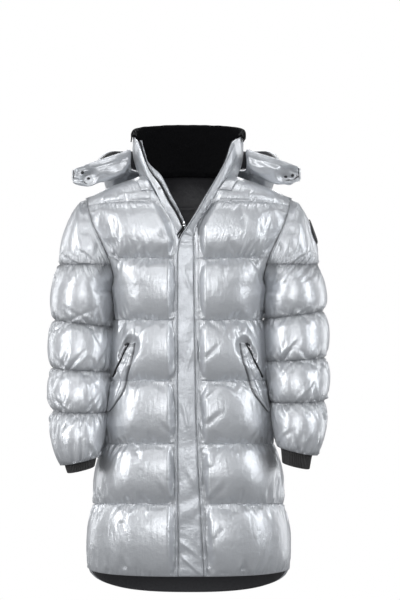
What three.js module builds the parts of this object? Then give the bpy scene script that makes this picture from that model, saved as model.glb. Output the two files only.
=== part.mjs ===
// A long hooded puffer coat, zipped to the chest, in its worn hollow form.
// Millimetres, +Z up. The front faces -Y and the wearer's right is -X.
// The origin is at the base of the neck, between the shoulders.
import * as THREE from "three";

// Driving sizes
const WALL = 4; // shell, fill and lining where a seam pinches them
const SIDE_WALL = 6; // the same along the side seams
const GAP = 0.3; // between two pieces at a seam
const BODY_PUFF = 22; // how far a body channel stands out of its seams
const SIDE_PUFF = 11; // the same at the side seams
const YOKE_PUFF = 0.35; // of the body's, pressed flat under the hood
const SLEEVE_PUFF = 14;
const INNER_SLEEVE_PUFF = 7; // where the sleeve lies against the body
const PUFF_SHAPE = 0.7; // lower is squarer
const BOXINESS = 2.3; // 2 is an ellipse
const FRONT_COLUMNS = 8;
const NECK_COLUMNS = 4; // each half of the back of the neck
const SLEEVE_COLUMNS = 14;
const NECK = { side: 115, sideY: -10, sideZ: 5, backY: 88, backZ: 22 };
const ZIP_X = -10; // the closed zip lies a little to the wearer's right
const ZIP_WIDTH = 11;
const ZIP_THICK = 1.6;
const LAPEL_FLAT = 9; // unpadded beside the lapels

const steps = (count) => [...Array(count + 1).keys()]; // 0, 1 and so on up to the count
const V = (x, y, z) => new THREE.Vector3(x, y, z);
const radians = THREE.MathUtils.degToRad;
const mix = (a, b, t) => a.clone().lerp(b, t);
const mixed = (a, b, t) => a + (b - a) * t;
const smooth = (t) => THREE.MathUtils.smoothstep(t, 0, 1);

// Tables: the first column is the key, and its rows run upwards
function table(columns, rows) {
  const names = columns.split(" ");
  const made = rows.map((row) => Object.fromEntries(names.map((n, i) => [n, row[i]])));
  return { key: names[0], rows: made.sort((a, b) => a[names[0]] - b[names[0]]) };
}

// A column read at any key, along a smooth curve that never overshoots its rows
function read({ key, rows }, column, at) {
  const last = rows.length - 1;
  const t = THREE.MathUtils.clamp(at, rows[0][key], rows[last][key]);
  let i = 0;
  while (i < last - 1 && rows[i + 1][key] < t) i++;
  const slope = (k) => (rows[k + 1][column] - rows[k][column]) / (rows[k + 1][key] - rows[k][key]);
  const tangent = (k) => {
    if (k === 0) return slope(0);
    if (k === last) return slope(last - 1);
    const [a, b] = [slope(k - 1), slope(k)];
    return a * b <= 0 ? 0 : (2 * a * b) / (a + b);
  };
  const step = rows[i + 1][key] - rows[i][key];
  const s = (t - rows[i][key]) / step;
  const [s2, s3] = [s * s, s * s * s];
  return (
    rows[i][column] * (2 * s3 - 3 * s2 + 1) +
    rows[i + 1][column] * (3 * s2 - 2 * s3) +
    step * (tangent(i) * (s3 - 2 * s2 + s) + tangent(i + 1) * (s3 - s2))
  );
}

// The body at heights of its side seam and armhole
const BODY = table("z zFront zBack half frontY backY sideY turn", [
  [-928, -928, -1014, 238, -146, 150, 0, 90],
  [-778, -760, -772, 224, -142, 146, 0, 90],
  [-634, -621, -628, 201, -137, 140, 0, 90],
  [-482, -475, -480, 180, -133, 130, -1, 90],
  [-336, -334, -336, 167, -131, 126, -3, 90],
  [-266, -264, -266, 179, -130, 129, -5, 90],
  [-186, -191, -191, 184, -127, 130, -5, 82],
  [-110, -107, -110, 184, -119, 126, -5, 70],
  [-66, -57, -57, 184, -112, 118, -5, 62],
]);
const BODY_SEAMS = [-928, -778, -634, -482, -336, -186, -66];
const ARMPIT_Z = -266;
const YOKE_Z = -66;

// The sleeve by the height of its inner edge: the armhole, then the underarm line
const SLEEVE = table("inZ outX outZ inX midY depth turn lift", [
  [-44, 242, -44, 242, 8, 30, 90, 0],
  [-66, 260, -66, 239, 4, 52, 92, 0],
  [-110, 281, -116, 224, 0, 84, 98, 0],
  [-160, 297, -166, 200, -1, 94, 108, 0],
  [-205, 306, -204, 182, -2, 96, 122, 0],
  [-235, 311, -240, 177, -3, 95, 148, 0],
  [-266, 314, -268, 180, -5, 93, 180, 0],
  [-352, 318, -335, 194, -16, 84, 180, 20],
  [-456, 320, -449, 198, -38, 79, 180, 24],
  [-552, 317, -550, 203, -62, 72, 180, 24],
  [-655, 297, -675, 210, -86, 58, 180, 23],
]);
const SLEEVE_SEAMS = [-655, -552, -456, -352, -205, -44];

// Heights that the armhole edges of the body and the sleeve share
const ARMHOLE_Z = [-266, -247, -226, -205, -186, -160, -135, -110, -87, -66, -58, -51, -44];
const YOKE_NODE = ARMHOLE_Z.indexOf(YOKE_Z);
const CORNER = ARMHOLE_Z.length - 1; // where the armhole turns over the shoulder

// The front edge above the end of the zip, by the height of the front
const LAPEL_EDGE = table("z right left", [
  [-1100, 16, 4.4],
  [-165, 16, 4.4],
  [-131, 29, 12],
  [-104, 38, 22],
  [-79, 53, 38],
  [-57, 66, 50],
]);
// How far the flat edge under the storm flap reaches from the middle
const FLAT_EDGE = table("z right left", [
  [-928, 31, 46],
  [-740, 31, 36],
  [-590, 31, 29],
  [-334, 31, 24],
  [-57, 31, 24],
]);

const flatTo = (side, height) =>
  Math.max(read(FLAT_EDGE, side, height), read(LAPEL_EDGE, side, height) + LAPEL_FLAT);

// A point of a quarter of a rounded square: how far along, and how far left to go
function quarter(angle) {
  const [s, c] = [Math.sin(angle), Math.cos(angle)];
  const r = (Math.abs(s) ** BOXINESS + Math.abs(c) ** BOXINESS) ** (-1 / BOXINESS);
  return [r * s, r * c];
}

const PILLOW_FLOOR = 1e-9;
// How full a channel is at a fraction of its height
const pillow = (f) => Math.max(4 * f * (1 - f), PILLOW_FLOOR) ** PUFF_SHAPE;

function fullness(seams, z) {
  const sorted = [...seams].sort((a, b) => a - b);
  for (let i = 1; i < sorted.length; i++)
    if (z <= sorted[i]) return pillow((z - sorted[i - 1]) / (sorted[i] - sorted[i - 1]));
  return 0;
}

// Armhole, on the +X side. face is -1 for the front and +1 for the back.
function armholePoint(face, node) {
  const z = ARMHOLE_Z[node];
  const reach = read(SLEEVE, "depth", z) * Math.sin(radians(read(SLEEVE, "turn", z)));
  return V(read(SLEEVE, "inX", z), read(SLEEVE, "midY", z) + face * reach, z);
}
const ARMHOLE_CENTRE = V(214, 0, -155);
const SHOULDER_POINT = V(242, 8, -44);

// A seam point: where it is, which way its wall goes in, and the side of the seam that a piece is on
function seamPoint(point, along, inward, towards, side) {
  const away = along.clone().cross(inward).normalize();
  if (away.dot(towards.clone().sub(point)) < 0) away.negate();
  const outer = point.clone().addScaledVector(away, (side * GAP) / 2);
  return { outer, inner: outer.clone().addScaledVector(inward, WALL) };
}

const BODY_CENTRE = V(0, 0, -200);
function armholeSeam(face, node, side) {
  const point = node > CORNER ? SHOULDER_POINT : armholePoint(face, node);
  const before = node > CORNER ? armholePoint(face, CORNER) : armholePoint(face, Math.max(node - 1, 0));
  const after = node >= CORNER ? SHOULDER_POINT : armholePoint(face, node + 1);
  let along = after.clone().sub(before).normalize();
  if (node === 0) along = V(0, 1, 0);
  if (node > CORNER) along = V(0, 1, 0);
  const inward = ARMHOLE_CENTRE.clone().sub(point).normalize();
  return seamPoint(point, along, inward, BODY_CENTRE, side);
}

// Body rows
function sideEnd(z, face) {
  if (z < ARMPIT_Z) return V(read(BODY, "half", z), read(BODY, "sideY", z), z);
  const reach = read(SLEEVE, "depth", z) * Math.sin(radians(read(SLEEVE, "turn", z)));
  return V(read(SLEEVE, "inX", z), read(SLEEVE, "midY", z) + face * reach, z);
}

// A point of the unpadded body, from 0 at the middle to 1 at the side, on the +X side
function bodyPoint(face, z, around) {
  const turn = radians(read(BODY, "turn", z));
  const [across, depth] = quarter(around * turn);
  const [acrossEnd, depthEnd] = quarter(turn);
  const left = (depth - depthEnd) / (1 - depthEnd);
  const end = sideEnd(z, face);
  const middleY = read(BODY, face < 0 ? "frontY" : "backY", z);
  const middleZ = read(BODY, face < 0 ? "zFront" : "zBack", z);
  return V((end.x * across) / acrossEnd, end.y + (middleY - end.y) * left, z + (middleZ - z) * left);
}

// The part of a row where the front edge cuts it
function edgeAround(z, edgeX) {
  let [low, high] = [0, 1];
  for (let i = 0; i < 30; i++) {
    const middle = (low + high) / 2;
    if (bodyPoint(-1, z, middle).x < edgeX) low = middle;
    else high = middle;
  }
  return low;
}

// Rows of a body panel from the hem up: heights below the yoke, then steps over the shoulder
const CHANNEL_STEPS = [0, 0.13, 0.38, 0.62, 0.87];
const LOWER_ROWS = BODY_SEAMS.slice(0, 4).flatMap((z, i) =>
  CHANNEL_STEPS.map((s) => z + s * (BODY_SEAMS[i + 1] - z)),
);
LOWER_ROWS.push(-336, -326, -308, -288);
const BODY_ROWS = [...LOWER_ROWS, ...ARMHOLE_Z.slice(0, YOKE_NODE + 1)];
const YOKE_STEPS = [0.25, 0.5, 0.75, 1];
const NECK_SIDE = V(NECK.side, NECK.sideY, NECK.sideZ);

const TOWARDS_COLLAR = V(0, 0, 60);
const neckInward = (p) => V(-p.x, -p.y, 0).normalize().multiplyScalar(0.8).add(V(0, 0, -0.6)).normalize();

// The puff of a body panel, less near its front edge, its armhole and its side
const FADE = { front: 45, armhole: 55, armholeBelow: -300, sideFrom: 0.6 };
function bodyPuff(full, z, fromFront, fromSide, sideways) {
  const front = smooth(fromFront / FADE.front);
  const side = (z ?? 0) > FADE.armholeBelow ? smooth(fromSide / FADE.armhole) : 1;
  const towardsSide = smooth((sideways - FADE.sideFrom) / (1 - FADE.sideFrom));
  return (BODY_PUFF + (SIDE_PUFF - BODY_PUFF) * towardsSide) * full * front * side;
}

// The unpadded points of a panel; the last rows go over the shoulder
function panelGrid(face, rowEnds, topCurve) {
  const grid = BODY_ROWS.map((z) => {
    const { from, columns } = rowEnds(z);
    return columns.map((c) => bodyPoint(face, z, from + (1 - from) * c));
  });
  const yoke = grid[grid.length - 1];
  YOKE_STEPS.forEach((step, k) => {
    const up = step * (Math.PI / 2);
    const seam = armholeSeam(face, YOKE_NODE + 1 + k, 0).outer;
    const row = yoke.map((p, j) => {
      const top = topCurve[j];
      return V(
        p.x + (top.x - p.x) * step,
        p.y + (top.y - p.y) * (1 - Math.cos(up)),
        p.z + (top.z - p.z) * Math.sin(up),
      );
    });
    const miss = seam.clone().sub(row[row.length - 1]);
    grid.push(row.map((p, j) => p.addScaledVector(miss, (j / (row.length - 1)) ** 3)));
  });
  return grid;
}

// Outward normals of a grid, by its neighbours
function normals(grid, closed = () => false) {
  const lastRow = grid.length - 1;
  return grid.map((row, i) => {
    const last = row.length - 1;
    return row.map((p, j) => {
      const wrap = closed(i);
      const before = j > 0 ? row[j - 1] : wrap ? row[last - 1] : row[0];
      const after = j < last ? row[j + 1] : wrap ? row[1] : row[last];
      const below = grid[Math.max(i - 1, 0)][j];
      const above = grid[Math.min(i + 1, lastRow)][j];
      return after.clone().sub(before).cross(above.clone().sub(below)).normalize();
    });
  });
}
const flipped = (list) => list.map((row) => row.map((n) => n.clone().negate()));

// Triangles
function quad(out, a, b, c, d) {
  out.push([a, b, c], [a, c, d]);
}
function skin(out, grid) {
  for (let i = 1; i < grid.length; i++)
    for (let j = 1; j < grid[i].length; j++)
      quad(out, grid[i - 1][j - 1], grid[i - 1][j], grid[i][j], grid[i][j - 1]);
}

// A wall between an outer grid and an inner one that keeps some of its rows
function wall(outer, inner, { kept = outer.map((_, i) => i), closed = () => false } = {}) {
  const out = [];
  skin(out, outer);
  const plain = [];
  skin(plain, kept.map((i) => inner[i]));
  out.push(...plain.map(([a, b, c]) => [a, c, b]));
  const last = outer[0].length - 1;
  const top = outer.length - 1;
  for (let j = 1; j <= last; j++) {
    quad(out, outer[0][j], outer[0][j - 1], inner[0][j - 1], inner[0][j]);
    quad(out, outer[top][j - 1], outer[top][j], inner[top][j], inner[top][j - 1]);
  }
  for (let n = 1; n < kept.length; n++) {
    const [from, to] = [kept[n - 1], kept[n]];
    if (closed(from) && closed(to)) continue;
    for (let k = from; k < to; k++) {
      out.push([outer[k][0], outer[k + 1][0], inner[from][0]]);
      out.push([outer[k + 1][last], outer[k][last], inner[from][last]]);
    }
    out.push([outer[to][0], inner[to][0], inner[from][0]]);
    out.push([inner[to][last], outer[to][last], inner[from][last]]);
  }
  return out;
}

// One closed body out of triangles, its faces turned outwards
const WELD = 1000; // points this close, as a part of a millimetre, are one
function solid(name, triangles, material) {
  const [places, points, index] = [new Map(), [], []];
  const place = (p) => {
    const key = [p.x, p.y, p.z].map((n) => Math.round(n * WELD)).join();
    if (!places.has(key)) {
      places.set(key, points.length);
      points.push(p);
    }
    return places.get(key);
  };
  let volume = 0;
  for (const [a, b, c] of triangles) {
    const [i, j, k] = [place(a), place(b), place(c)];
    if (i === j || j === k || k === i) continue;
    index.push(i, j, k);
    volume += a.dot(b.clone().cross(c));
  }
  if (volume < 0)
    for (let i = 0; i < index.length; i += 3) [index[i], index[i + 1]] = [index[i + 1], index[i]];
  const geometry = new THREE.BufferGeometry().setFromPoints(points).setIndex(index);
  geometry.computeVertexNormals();
  const mesh = new THREE.Mesh(geometry, material);
  mesh.name = name;
  return mesh;
}

const turned = (p, sign) => V(p.x * sign, p.y, p.z);
const turnedAll = (triangles, sign) => triangles.map((t) => t.map((p) => turned(p, sign)));

// Materials
const finish = (color, roughness, metalness) =>
  new THREE.MeshStandardMaterial({ color, roughness, metalness, flatShading: true });
const SHELL = finish(0xb4bac2, 0.38, 0.55);
const LINING = finish(0x34353a, 0.6, 0);
const FLEECE = finish(0x0c0c0e, 0.95, 0);
const KNIT = finish(0x201f21, 0.9, 0);
const TAPE = finish(0x18181a, 0.8, 0);
const NICKEL = finish(0xb9bcc0, 0.25, 1);
const PATCH = finish(0x111214, 0.7, 0);

// Which rows of a body panel its plain inside keeps
const innerRows = (count) =>
  steps(count - 1).filter((i) => i >= LOWER_ROWS.length - 4 || i % 3 === 0 || i === count - 1);

// Fronts. side is "right" (-X) or "left" (+X); both are made on the +X side.
function frontEdges(side) {
  const even = steps(FRONT_COLUMNS).map((j) => j / FRONT_COLUMNS);
  // the second column ends the flat edge under the storm flap
  const rowEnds = (z) => {
    const height = read(BODY, "zFront", z);
    const edge = read(LAPEL_EDGE, side, height);
    const from = edgeAround(z, edge);
    const flat = edgeAround(z, flatTo(side, height) + 1);
    const first = (flat - from) / (1 - from);
    const columns = even.map((c, j) => (j === 0 ? 0 : mixed(first, 1, (j - 1) / (FRONT_COLUMNS - 1))));
    return { from, columns };
  };
  const top = even.map((c) => mix(NECK_SIDE, SHOULDER_POINT, c));
  return panelGrid(-1, rowEnds, top);
}

const NECKLINE_ROW = BODY_ROWS.indexOf(-135); // where the front edge leaves the zip for the collar

const yokePuff = (row) => YOKE_PUFF * pillow(YOKE_STEPS[row - BODY_ROWS.length]);
// The armhole node of a row of a body panel, or below 0 where the row ends at the side seam
const armholeNode = (row) =>
  row < BODY_ROWS.length ? ARMHOLE_Z.indexOf(BODY_ROWS[row]) : YOKE_NODE + 1 + (row - BODY_ROWS.length);

function frontPanel(side) {
  const grid = frontEdges(side);
  const out = normals(grid);
  const inner = grid.map((row, i) => row.map((p, j) => p.clone().addScaledVector(out[i][j], -WALL)));
  const last = FRONT_COLUMNS;
  const top = grid.length - 1;
  const rowZ = (i) => (i < BODY_ROWS.length ? BODY_ROWS[i] : null);
  const outer = grid.map((row, i) => {
    const z = rowZ(i);
    const full = z === null ? yokePuff(i) : fullness(BODY_SEAMS, z);
    const flat = flatTo(side, z === null ? 0 : read(BODY, "zFront", z));
    return row.map((p, j) => {
      const puff = bodyPuff(full, z, Math.abs(p.x) - flat, row[last].distanceTo(p), p.x / row[last].x);
      return p.clone().addScaledVector(out[i][j], puff);
    });
  });
  // Seams: side, armhole, shoulder, neckline and zip
  grid.forEach((row, i) => {
    const node = armholeNode(i);
    if (node >= 0) {
      const seam = armholeSeam(-1, node, 1);
      outer[i][last] = seam.outer;
      inner[i][last] = seam.inner;
    } else {
      inner[i][last] = outer[i][last].clone().add(V(-SIDE_WALL, 0, 0));
    }
    if (node <= 0) for (const set of [outer, inner]) set[i][last].y -= GAP / 2;
    if (i >= NECKLINE_ROW) {
      const along = grid[Math.min(i + 1, top)][0].clone().sub(grid[i - 1][0]).normalize();
      const seam = seamPoint(row[0], along, neckInward(row[0]), TOWARDS_COLLAR, -1);
      outer[i][0] = seam.outer;
      inner[i][0] = seam.inner;
    } else {
      inner[i][0] = outer[i][0].clone().add(V(0, WALL, 0));
    }
  });
  for (let j = 0; j <= last; j++) {
    if (j > 0 && j < last) inner[top][j] = outer[top][j].clone().add(V(0, 0, -WALL));
    for (const set of [outer, inner]) set[top][j].y -= GAP / 2;
  }
  return { outer, inner, grid, out };
}

// Back: both halves in one panel, from the -X side seam to the +X one
function backPanel() {
  const count = NECK_COLUMNS + FRONT_COLUMNS;
  const columns = steps(count).map((j) => j / count);
  const top = columns.map((_, j) => {
    if (j >= NECK_COLUMNS) return mix(NECK_SIDE, SHOULDER_POINT, (j - NECK_COLUMNS) / FRONT_COLUMNS);
    const a = (Math.PI / 2) * (j / NECK_COLUMNS);
    return V(
      NECK.side * Math.sin(a),
      NECK.sideY + (NECK.backY - NECK.sideY) * Math.cos(a),
      NECK.sideZ + (NECK.backZ - NECK.sideZ) * Math.cos(a),
    );
  });
  const half = panelGrid(1, () => ({ from: 0, columns }), top);
  const grid = half.map((row) => [...row.slice(1).map((p) => turned(p, -1)).reverse(), ...row]);
  const out = flipped(normals(grid));
  const inner = grid.map((row, i) => row.map((p, j) => p.clone().addScaledVector(out[i][j], -WALL)));
  const last = 2 * count;
  const topRow = grid.length - 1;
  const outer = grid.map((row, i) => {
    const z = i < BODY_ROWS.length ? BODY_ROWS[i] : null;
    const full = z === null ? yokePuff(i) : fullness(BODY_SEAMS, z);
    return row.map((p, j) => {
      const end = p.x < 0 ? row[0] : row[last];
      const puff = bodyPuff(full, z, FADE.front, end.distanceTo(p), p.x / end.x);
      return p.clone().addScaledVector(out[i][j], puff);
    });
  });
  grid.forEach((row, i) => {
    const node = armholeNode(i);
    for (const [j, sign] of [[0, -1], [last, 1]]) {
      if (node >= 0) {
        const seam = armholeSeam(1, node, 1);
        outer[i][j] = turned(seam.outer, sign);
        inner[i][j] = turned(seam.inner, sign);
      } else {
        inner[i][j] = outer[i][j].clone().add(V(-sign * SIDE_WALL, 0, 0));
      }
      if (node <= 0) for (const set of [outer, inner]) set[i][j].y += GAP / 2;
    }
  });
  for (let j = 0; j <= last; j++) {
    const fromMiddle = Math.abs(j - count);
    if (fromMiddle <= NECK_COLUMNS) {
      const along = grid[topRow][j + 1].clone().sub(grid[topRow][j - 1]).normalize();
      const p = grid[topRow][j];
      const seam = seamPoint(p, along, neckInward(p), TOWARDS_COLLAR, -1);
      outer[topRow][j] = seam.outer;
      inner[topRow][j] = seam.inner;
    } else if (fromMiddle < count) inner[topRow][j] = outer[topRow][j].clone().add(V(0, 0, -WALL));
    if (fromMiddle >= NECK_COLUMNS) for (const set of [outer, inner]) set[topRow][j].y += GAP / 2;
  }
  return { outer, inner, grid, out, count };
}

// Sleeves, made on the +X side
const SLEEVE_LOWER = [-280, -300, -326, -352];
function sleeveRows() {
  const rows = [...ARMHOLE_Z].reverse().concat(SLEEVE_LOWER);
  const seams = [...SLEEVE_SEAMS].reverse().slice(2);
  seams.slice(1).forEach((to, k) => {
    for (const s of [...CHANNEL_STEPS.slice(1), 1]) rows.push(seams[k] + s * (to - seams[k]));
  });
  return rows;
}
function sleevePoint(side, inZ, around) {
  const col = (name) => read(SLEEVE, name, inZ);
  const lift = side === "left" ? col("lift") : 0;
  const turn = radians(col("turn"));
  const angle = around * turn;
  const arch = (Math.cos(angle) - Math.cos(turn)) / (1 - Math.cos(turn));
  return V(
    col("inX") + (col("outX") - col("inX")) * arch,
    col("midY") + Math.sin(angle) * col("depth"),
    inZ + lift + (col("outZ") - inZ) * arch,
  );
}
const SLEEVE_FADE = { insideFrom: 0.6, armpit: 60, columns: 4, rows: 4 };
function sleeve(side) {
  const rows = sleeveRows();
  const armpitRow = rows.indexOf(ARMPIT_Z);
  const closed = (i) => i >= armpitRow;
  const columns = steps(SLEEVE_COLUMNS).map((j) => -1 + (2 * j) / SLEEVE_COLUMNS);
  const grid = rows.map((z) => columns.map((c) => sleevePoint(side, z, c)));
  let out = normals(grid, closed);
  const outermost = SLEEVE_COLUMNS / 2;
  if (out[armpitRow][outermost].x < 0) out = flipped(out);
  const inner = grid.map((row, i) => row.map((p, j) => p.clone().addScaledVector(out[i][j], -WALL)));
  const outer = grid.map((row, i) => {
    const full = fullness(SLEEVE_SEAMS, rows[i]);
    return row.map((p, j) => {
      const inside = smooth((Math.abs(columns[j]) - SLEEVE_FADE.insideFrom) / (1 - SLEEVE_FADE.insideFrom));
      const belowArmpit = smooth((ARMPIT_Z - rows[i]) / SLEEVE_FADE.armpit + 1 - inside);
      const fromArmhole = smooth(Math.min(j, SLEEVE_COLUMNS - j) / SLEEVE_FADE.columns);
      const fade = (closed(i) ? belowArmpit : fromArmhole) * smooth(i / SLEEVE_FADE.rows);
      const puff = (SLEEVE_PUFF + (INNER_SLEEVE_PUFF - SLEEVE_PUFF) * inside) * full * fade;
      return p.clone().addScaledVector(out[i][j], puff);
    });
  });
  rows.forEach((z, i) => {
    const node = ARMHOLE_Z.indexOf(z);
    if (node < 0) {
      for (const set of [outer, inner]) set[i][SLEEVE_COLUMNS] = set[i][0].clone();
      return;
    }
    for (const [j, face] of [[0, -1], [SLEEVE_COLUMNS, 1]]) {
      const seam = armholeSeam(face, node, -1);
      outer[i][j] = seam.outer;
      inner[i][j] = seam.inner;
    }
  });
  for (let j = 1; j < SLEEVE_COLUMNS; j++) {
    const p = mix(armholePoint(-1, CORNER), armholePoint(1, CORNER), j / SLEEVE_COLUMNS);
    const inward = ARMHOLE_CENTRE.clone().sub(p).normalize();
    const seam = seamPoint(p, V(0, 1, 0), inward, BODY_CENTRE, -1);
    outer[0][j] = seam.outer;
    inner[0][j] = seam.inner;
  }
  const last = rows.length - 1;
  const kept = steps(last).filter((i) => i <= armpitRow + 1 || i % 3 === 0 || i === last);
  return { outer, inner, grid, out, rows, closed, kept };
}

// Knit cuff: a tube with raised ribs, from inside the sleeve's end to below it
const CUFF = { ribs: 28, ribDepth: 1.6, tuck: 26, wall: 3, below: { right: 20, left: 34 } };
const CUFF_LEVELS = [-4, 8]; // between its ends, from the sleeve's hem
const CUFF_INSET = [8.7, 6.75, 9.5, 13]; // from the sleeve's hem, at each level
const SLEEVE_HEM = SLEEVE_SEAMS[0];
const LAST_STEP = 60; // the sleeve's way there is its own over this height
function sleeveCentre(side, inZ) {
  const count = 24;
  const ring = [...Array(count).keys()].map((k) => sleevePoint(side, inZ, -1 + (2 * k) / count));
  return ring.reduce((sum, p) => sum.add(p), V(0, 0, 0)).divideScalar(count);
}
function knitCuff(side) {
  const centre = sleeveCentre(side, SLEEVE_HEM);
  const down = centre.clone().sub(sleeveCentre(side, SLEEVE_HEM + LAST_STEP)).normalize();
  const around = 2 * CUFF.ribs;
  const levels = [-CUFF.tuck, ...CUFF_LEVELS, CUFF.below[side]];
  const grids = [CUFF.ribDepth, -CUFF.wall].map((lift) =>
    levels.map((level, i) =>
      steps(around).map((k) => {
        const p = sleevePoint(side, SLEEVE_HEM, -1 + (2 * (k % around)) / around).sub(centre);
        const rib = lift > 0 ? (k % 2) * lift : lift;
        const reach = p.length();
        p.multiplyScalar((reach - CUFF_INSET[i] + rib) / reach);
        return p.add(centre).addScaledVector(down, level);
      }),
    ),
  );
  return wall(grids[0], grids[1], { closed: () => true });
}

// Neckline, from the end of the zip up the right front, round the back and down the left front
const FREE_EDGE = {
  right: [V(15, -125, -119), V(32, -122, -84), V(50, -117, -55), V(67, -110, -20), V(91, -97, 14),
    V(106, -87, 48), V(119, -76, 82), V(131, -42, 98)],
  left: [V(-5, -125, -119), V(14, -122, -90), V(30, -118, -62), V(46, -112, -34), V(70, -101, 4),
    V(88, -91, 42), V(104, -80, 82), V(124, -44, 98)],
  neck: [V(135, -12, 108), V(131, 30, 120), V(105, 72, 130), V(58, 100, 136), V(0, 108, 138)],
};
const COLLAR_STEPS = [0, 0.12, 0.3, 0.5, 0.7, 0.88, 1];
const COLLAR_BULGE = 9;
const BULGE_ROWS = { from: 2, over: 4 }; // counted from the collar's ends

function collarNodes(fronts, back) {
  const nodes = [];
  for (const [side, sign] of [["right", -1], ["left", 1]]) {
    const grid = fronts[side].grid;
    const list = [];
    for (let i = NECKLINE_ROW; i < grid.length; i++) {
      const free = FREE_EDGE[side][i - NECKLINE_ROW] ?? FREE_EDGE.neck[0];
      const top = Math.min(i + 1, grid.length - 1);
      const along = grid[top][0].clone().sub(grid[i - 1][0]).normalize();
      list.push({ point: grid[i][0], free, along, sign });
    }
    if (sign > 0) list.reverse();
    nodes.push(list);
  }
  const neck = [];
  const top = back.grid[back.grid.length - 1];
  for (let j = back.count - NECK_COLUMNS + 1; j < back.count + NECK_COLUMNS; j++) {
    const free = FREE_EDGE.neck[NECK_COLUMNS - Math.abs(j - back.count)];
    const along = top[j + 1].clone().sub(top[j - 1]).normalize();
    neck.push({ point: top[j], free: turned(free, Math.sign(j - back.count) || 1), along, sign: 0 });
  }
  return [...nodes[0], ...neck, ...nodes[1]];
}

// The collar's unpadded surface at some distance from its outside
function collarGrids(nodes) {
  return nodes.map(({ point, free, along, sign }, k) => {
    const base = sign ? turned(point, sign) : point;
    const top = sign ? turned(free, sign) : free;
    const outward = V(base.x, base.y, 0).normalize();
    const fromEnd = Math.min(k, nodes.length - 1 - k);
    const bulge = COLLAR_BULGE * smooth((fromEnd - BULGE_ROWS.from) / BULGE_ROWS.over);
    const curve = COLLAR_STEPS.map((t) =>
      mix(base, top, t).addScaledVector(outward, bulge * Math.sin(Math.PI * t)),
    );
    const seam = seamPoint(base, sign ? turned(along, sign) : along, neckInward(base), TOWARDS_COLLAR, 1);
    return { curve, seam };
  });
}

function collar(nodes) {
  const rows = collarGrids(nodes);
  const grid = rows.map((r) => r.curve);
  let out = normals(grid);
  const mid = Math.floor(rows.length / 2);
  if (out[mid][3].y < 0) out = flipped(out);
  const offset = (d) => grid.map((row, i) => row.map((p, j) => p.clone().addScaledVector(out[i][j], d)));
  const [outer, inner] = [offset(0), offset(-WALL)];
  rows.forEach(({ seam }, i) => {
    outer[i][0] = seam.outer;
    inner[i][0] = seam.inner;
  });
  return { outer, inner, offset, grid, out };
}

const across = (a, b, count) => steps(count).map((k) => mix(a, b, k / count));

// A point on the front edge area, where the panels are flat
function edgePoint(x, z) {
  let key = z;
  for (let i = 0; i < 8; i++) key += z - read(BODY, "zFront", key);
  const around = edgeAround(key, Math.abs(x));
  return V(x, bodyPoint(-1, key, around).y, z);
}

// A lapel's stations, from the end of the zip to the top of the collar. Each has a place at any distance
// from the free edge towards the seam, or past the edge, and any distance out.
function lapelStations(stand, side) {
  const count = stand.grid.length;
  const order = [...Array(LAPEL_STATIONS).keys()].map((k) => (side === "right" ? k : count - 1 - k));
  return order.map((i) => {
    const [row, out] = [[...stand.grid[i]].reverse(), [...stand.out[i]].reverse()];
    return (inwards, lift) => {
      let left = inwards;
      let j = 0;
      while (j < row.length - 2 && left > row[j].distanceTo(row[j + 1])) {
        left -= row[j].distanceTo(row[j + 1]);
        j++;
      }
      const t = Math.min(left / row[j].distanceTo(row[j + 1]), 1);
      const point = row[j].clone().addScaledVector(row[j + 1].clone().sub(row[j]), t);
      const away = mix(out[j], out[j + 1], THREE.MathUtils.clamp(t, 0, 1)).normalize();
      return point.addScaledVector(away, lift);
    };
  });
}
const LAPEL_STATIONS = 7;
const FORWARD = V(0, -1, 0);
const flatRow = (z, from, to, count, lift) =>
  across(V(from, 0, z), V(to, 0, z), count).map((p) => edgePoint(p.x, p.z).addScaledVector(FORWARD, lift));

// Storm flap: over the zip, then up the left lapel to the top of the collar
const FLAP = table("z left right", [
  [-927, -30, 42],
  [-870, -30, 40],
  [-800, -30, 35],
  [-730, -30, 31],
  [-590, -30, 24],
  [-460, -30, 21],
  [-334, -30, 19],
  [-230, -30, 17],
  [-175, -28, 17],
  [-145, -21, 15],
]);
const FLAP_UP = 33; // its width on the collar
const FLAP_COLUMNS = 5;
const FLAP_LIFT = [0.6, 4.6];
const ON_COLLAR = 0.5; // a little more on the collar, which is curved
function stormFlap(stand) {
  const [inner, outer] = FLAP_LIFT.map((lift) => [
    ...FLAP.rows.map(({ z, left, right }) => flatRow(z, left, right, FLAP_COLUMNS, lift)),
    ...lapelStations(stand, "left").map((place) =>
      steps(FLAP_COLUMNS).map((k) => place((k / FLAP_COLUMNS) * FLAP_UP, lift + ON_COLLAR)),
    ),
  ]);
  return wall(outer, inner);
}

// Zip tapes: side by side down the front, then under the edge of each lapel
const TAPE_UNDER = 9;
const TAPE_SHOWS = { right: 6, left: 1 };
const TAPE_BEHIND = WALL + 0.8;
const ZIP_ROWS = [-922, -760, -621, -475, -334, -191, -150];
function zipTape(stand, side) {
  const sign = side === "right" ? -1 : 1;
  const [near, far] = [ZIP_X + (sign * GAP) / 2, ZIP_X + sign * (ZIP_WIDTH + 4)];
  const [inner, outer] = [TAPE_BEHIND + ZIP_THICK, TAPE_BEHIND].map((depth) => [
    ...ZIP_ROWS.map((z) => flatRow(z, near, far, 2, -depth)),
    ...lapelStations(stand, side).map((place) =>
      [-TAPE_SHOWS[side], 1, TAPE_UNDER].map((inwards) => place(inwards, -depth)),
    ),
  ]);
  return wall(outer, inner);
}

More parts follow.
